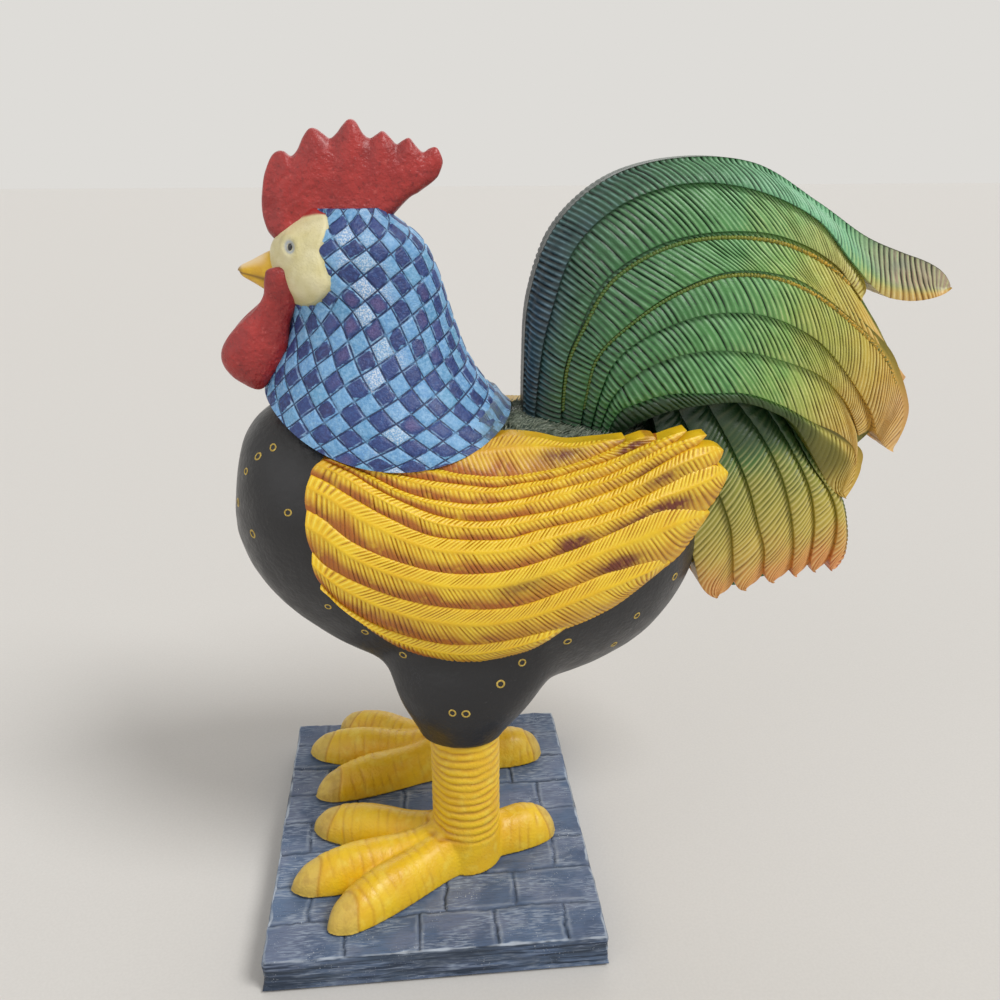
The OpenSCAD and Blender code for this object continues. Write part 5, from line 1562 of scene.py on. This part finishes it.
class RoosterPaints(bpy.types.PropertyGroup):
    slate: colour_setting("Slate", "Main colour of the slab", "#5E7391")
    slate_dark: colour_setting("Dark slate", "Darker patches of the slab", "#4A5A76")
    slate_pale: colour_setting("Pale slate", "Dusty patches of the slab", "#8F9CB0")
    leg: colour_setting("Leg", "Yellow of the legs", "#F2C820")
    leg_wash: colour_setting("Leg wash", "Wash in the wrinkles", "#B87C1C")
    body: colour_setting("Body", "Charcoal of the body", "#1D1D20")
    wing: colour_setting("Wing", "Yellow of the wings", "#F4CB20")
    wing_wash_and_shade: colour_setting("Wing wash", "Ochre wash of the wings", "#B5681E")
    wing_pool: colour_setting("Wing pools", "Brown that pools on the wings", "#71331F")
    cape: colour_setting("Cape", "Light blue of the neck cape", "#6CA2D6")
    navy: colour_setting("Navy", "Dark squares of the cape", "#213066")
    face: colour_setting("Face", "Cream of the face", "#E9E0B4")
    beak: colour_setting("Beak", "Yellow of the beak", "#F0C22A")
    comb: colour_setting("Comb", "Red of comb and wattles", "#B4322E")
    tail_root: colour_setting("Tail root", "Slate at the tail's front", "#1B303A")
    tail: colour_setting("Tail", "Green of the tail", "#37743A")
    tail_tip: colour_setting("Tail tip", "Gold near the tail's tips", "#D9AE38")
    covert: colour_setting("Coverts", "Olive yellow of the coverts", "#A39C38")


class ROOSTER_OT_base(bpy.types.Operator):
    """Carve the brick slab, and give the felt under it its cloth"""
    bl_idname = "rooster.base"
    bl_label = "Base"

    def execute(self, context):
        paints, sizes = context.scene.rooster_paints, context.scene.rooster_sizes
        slab = slab_mesh(sizes.joint_depth / MM)
        show("brick_slab", slab, slate_paint(paints), "slate_paint", "base_block", sharp=60)
        dress("base_felt", felt())
        return {"FINISHED"}


class ROOSTER_OT_legs(bpy.types.Operator):
    """Model both wrinkled legs with their toes and claws, and finish the steel rods inside them"""
    bl_idname = "rooster.legs"
    bl_label = "Legs"

    def execute(self, context):
        paints, sizes = context.scene.rooster_paints, context.scene.rooster_sizes
        skin = leg_paint(paints)
        for side, word in SIDES:
            show(f"{word}_foot", leg_mesh(side, sizes), skin, "leg_paint", f"{word}_leg", sharp=70)
        rod = steel()
        for _, word in SIDES:
            dress(f"{word}_leg_rod", rod)
        return {"FINISHED"}


class ROOSTER_OT_body(bpy.types.Operator):
    """Knead body and thighs into one skin, paint the gold rings on it and comb the saddle's tufts"""
    bl_idname = "rooster.body"
    bl_label = "Body"

    def execute(self, context):
        paints, sizes = context.scene.rooster_paints, context.scene.rooster_sizes
        body = show("charcoal_body", body_mesh(), body_paint(paints), "body_paint", "body_shell", sharp=80)
        points, ways = ring_places(body)
        gold = ring_paint()
        inputs = {"Ring diameter": sizes.ring_size, "Brush line": RING_LINE, "Paint": gold}
        mesh = run_tree(ring_tree(), "rings", points, inputs, way=ways)
        show("gold_rings", mesh, gold, "body_paint", sharp=80)
        moss = tuft_paint()
        points, ways = tuft_places(body)
        inputs = {"Strand length": sizes.tuft_length, "Strand thickness": STRAND_THICKNESS, "Paint": moss}
        mesh = run_tree(tuft_tree(), "tufts", points, inputs, way=ways)
        show("saddle_tufts", mesh, moss, "body_paint", sharp=80)
        return {"FINISHED"}


class ROOSTER_OT_wings(bpy.types.Operator):
    """Lay the long wing feathers with their herringbone barbs"""
    bl_idname = "rooster.wings"
    bl_label = "Wings"

    def execute(self, context):
        paints, sizes = context.scene.rooster_paints, context.scene.rooster_sizes
        skin = wing_paint(paints)
        for side, word in SIDES:
            show(f"{word}_wing_feathers", wing_mesh(side, sizes), skin, "wing_paint", f"{word}_wing")
        return {"FINISHED"}


class ROOSTER_OT_neck(bpy.types.Operator):
    bl_idname = "rooster.neck"
    bl_label = "Neck cape"

    def execute(self, context):
        paints, sizes = context.scene.rooster_paints, context.scene.rooster_sizes
        show("checked_cape", cape_mesh(sizes), cape_paint(paints), "cape_paint", "neck_cape", sharp=75)
        return {"FINISHED"}


class ROOSTER_OT_head(bpy.types.Operator):
    """Model face, eyes, beak, comb and wattles"""
    bl_idname = "rooster.head"
    bl_label = "Head"

    def execute(self, context):
        paints = context.scene.rooster_paints
        show("cream_face", face_mesh(), face_paint(paints), "face_paint", "face", sharp=80)
        show("eyes", eye_mesh(), eye_paint(), "face_paint", sharp=80)
        show("bill", beak_mesh(), beak_paint(paints), "beak_paint", "beak", sharp=70)
        red = comb_paint(paints)
        show("red_comb", comb_mesh(), red, "comb_paint", "comb", sharp=80)
        for side, word in SIDES:
            show(f"{word}_red_wattle", wattle_mesh(side), red, "comb_paint", f"{word}_wattle", sharp=80)
        return {"FINISHED"}


class ROOSTER_OT_tail(bpy.types.Operator):
    """Lay the tail fans, their twisted shafts and the lower feathers on the tail's plate"""
    bl_idname = "rooster.tail"
    bl_label = "Tail"

    def execute(self, context):
        paints, sizes = context.scene.rooster_paints, context.scene.rooster_sizes
        skin, low_skin = tail_paint(paints), covert_paint(paints)
        for side, word in SIDES:
            show(f"{word}_tail_feathers", tail_mesh(side, sizes), skin, "tail_paint", f"{word}_tail_fan")
            show(f"{word}_lower_feathers", covert_mesh(side, sizes), low_skin, "covert_paint",
                 f"{word}_tail_coverts")
        dress("tail_core", plate_paint())
        gold, tree = shaft_paint(), rope_tree()
        inputs = {"Bead spacing": BEAD_SPACING, "Shaft thickness": sizes.shaft_size, "Paint": gold}
        for side, word in SIDES:
            for number in SHAFT_FEATHERS:
                points = shaft_points(side, number)
                steps = [(step, step + 1) for step in range(len(points) - 1)]
                mesh = run_tree(tree, "shaft", points, inputs, steps)
                paint(mesh, "hue", tail_share(read_points(mesh)[0]))
                show(f"{word}_shaft_{number}", mesh, gold, "tail_paint", sharp=80)
        return {"FINISHED"}


class ROOSTER_OT_stage(bpy.types.Operator):
    """Set the pale floor, the soft lights and the camera of the photograph"""
    bl_idname = "rooster.stage"
    bl_label = "Stage"

    def execute(self, context):
        floor = bpy.data.meshes.new("floor")
        corners = [(x, y, -0.0002) for x, y in ((-6, -6), (6, -6), (6, 6), (-6, 6))]
        floor.from_pydata(corners, [], [(0, 1, 2, 3)])
        floor.materials.append(floor_paint())
        ground = bpy.data.objects.new("floor", floor)
        context.scene.collection.objects.link(ground)
        # Soft lights far away: where each comes from, its strength and how wide it is, in degrees
        for name, place, strength, width in (("key_light", (0.8, -0.55, 1.2), 1.7, 22),
                                             ("fill_light", (-1.0, -0.9, 0.6), 0.35, 60),
                                             ("back_light", (0.2, 1.0, 0.8), 0.5, 50)):
            lamp = bpy.data.lights.new(name, "SUN")
            lamp.energy, lamp.angle = strength, math.radians(width)
            obj = bpy.data.objects.new(name, lamp)
            obj.rotation_euler = Vector(place).to_track_quat("Z", "Y").to_euler()
            context.scene.collection.objects.link(obj)
        # The camera and glossy surfaces see a paler room than the one that lights the bird
        world = bpy.data.worlds.new("soft_room")
        world.use_nodes = True
        tree = world.node_tree
        tree.nodes.clear()
        seen = add(tree, "ShaderNodeLightPath").outputs
        room = add(tree, "ShaderNodeBackground", {0: linear("#F4F2F0"), 1: 0.5})
        wall = add(tree, "ShaderNodeBackground", {0: linear("#DEDCD8"), 1: 1.0})
        pale = add(tree, "ShaderNodeMath", {0: seen["Is Camera Ray"], 1: seen["Is Glossy Ray"]},
                   operation="MAXIMUM")
        clear = add(tree, "ShaderNodeMath", {0: pale.outputs[0], 1: seen["Is Transmission Ray"]},
                    operation="MAXIMUM")
        both = add(tree, "ShaderNodeMixShader", {0: clear.outputs[0], 1: room.outputs[0], 2: wall.outputs[0]})
        add(tree, "ShaderNodeOutputWorld", {0: both.outputs[0]})
        context.scene.world = world
        camera = bpy.data.cameras.new("camera")
        camera.lens, camera.sensor_width = LENS, SENSOR
        eye = bpy.data.objects.new("camera", camera)
        eye.location = Vector(CAMERA) * MM
        eye.rotation_euler = Euler([math.radians(angle) for angle in CAMERA_TURN])
        context.scene.collection.objects.link(eye)
        context.scene.camera = eye
        context.scene.view_settings.view_transform = "Standard"
        return {"FINISHED"}


class ROOSTER_PT_panel(bpy.types.Panel):
    """Lists the pieces of the rooster and what can be changed on them"""
    bl_idname = "ROOSTER_PT_panel"
    bl_label = "Rooster"
    bl_space_type = "VIEW_3D"
    bl_region_type = "UI"
    bl_category = "Rooster"

    def draw(self, context):
        for group in (context.scene.rooster_sizes, context.scene.rooster_paints):
            for key in group.bl_rna.properties.keys():
                if key not in ("rna_type", "name"):
                    self.layout.prop(group, key)
        for operator in OPERATORS:
            self.layout.operator(operator.bl_idname)


OPERATORS = [ROOSTER_OT_base, ROOSTER_OT_legs, ROOSTER_OT_body, ROOSTER_OT_wings, ROOSTER_OT_neck,
             ROOSTER_OT_head, ROOSTER_OT_tail, ROOSTER_OT_stage]
CLASSES = [RoosterSizes, RoosterPaints, *OPERATORS, ROOSTER_PT_panel]


def register():
    for cls in CLASSES:
        bpy.utils.register_class(cls)
    bpy.types.Scene.rooster_sizes = bpy.props.PointerProperty(type=RoosterSizes)
    bpy.types.Scene.rooster_paints = bpy.props.PointerProperty(type=RoosterPaints)


def unregister():
    del bpy.types.Scene.rooster_sizes
    del bpy.types.Scene.rooster_paints
    for cls in reversed(CLASSES):
        bpy.utils.unregister_class(cls)


def main():
    register()
    for operator in OPERATORS:
        area, name = operator.bl_idname.split(".")
        getattr(getattr(bpy.ops, area), name)()


if __name__ == "__main__":
    main()
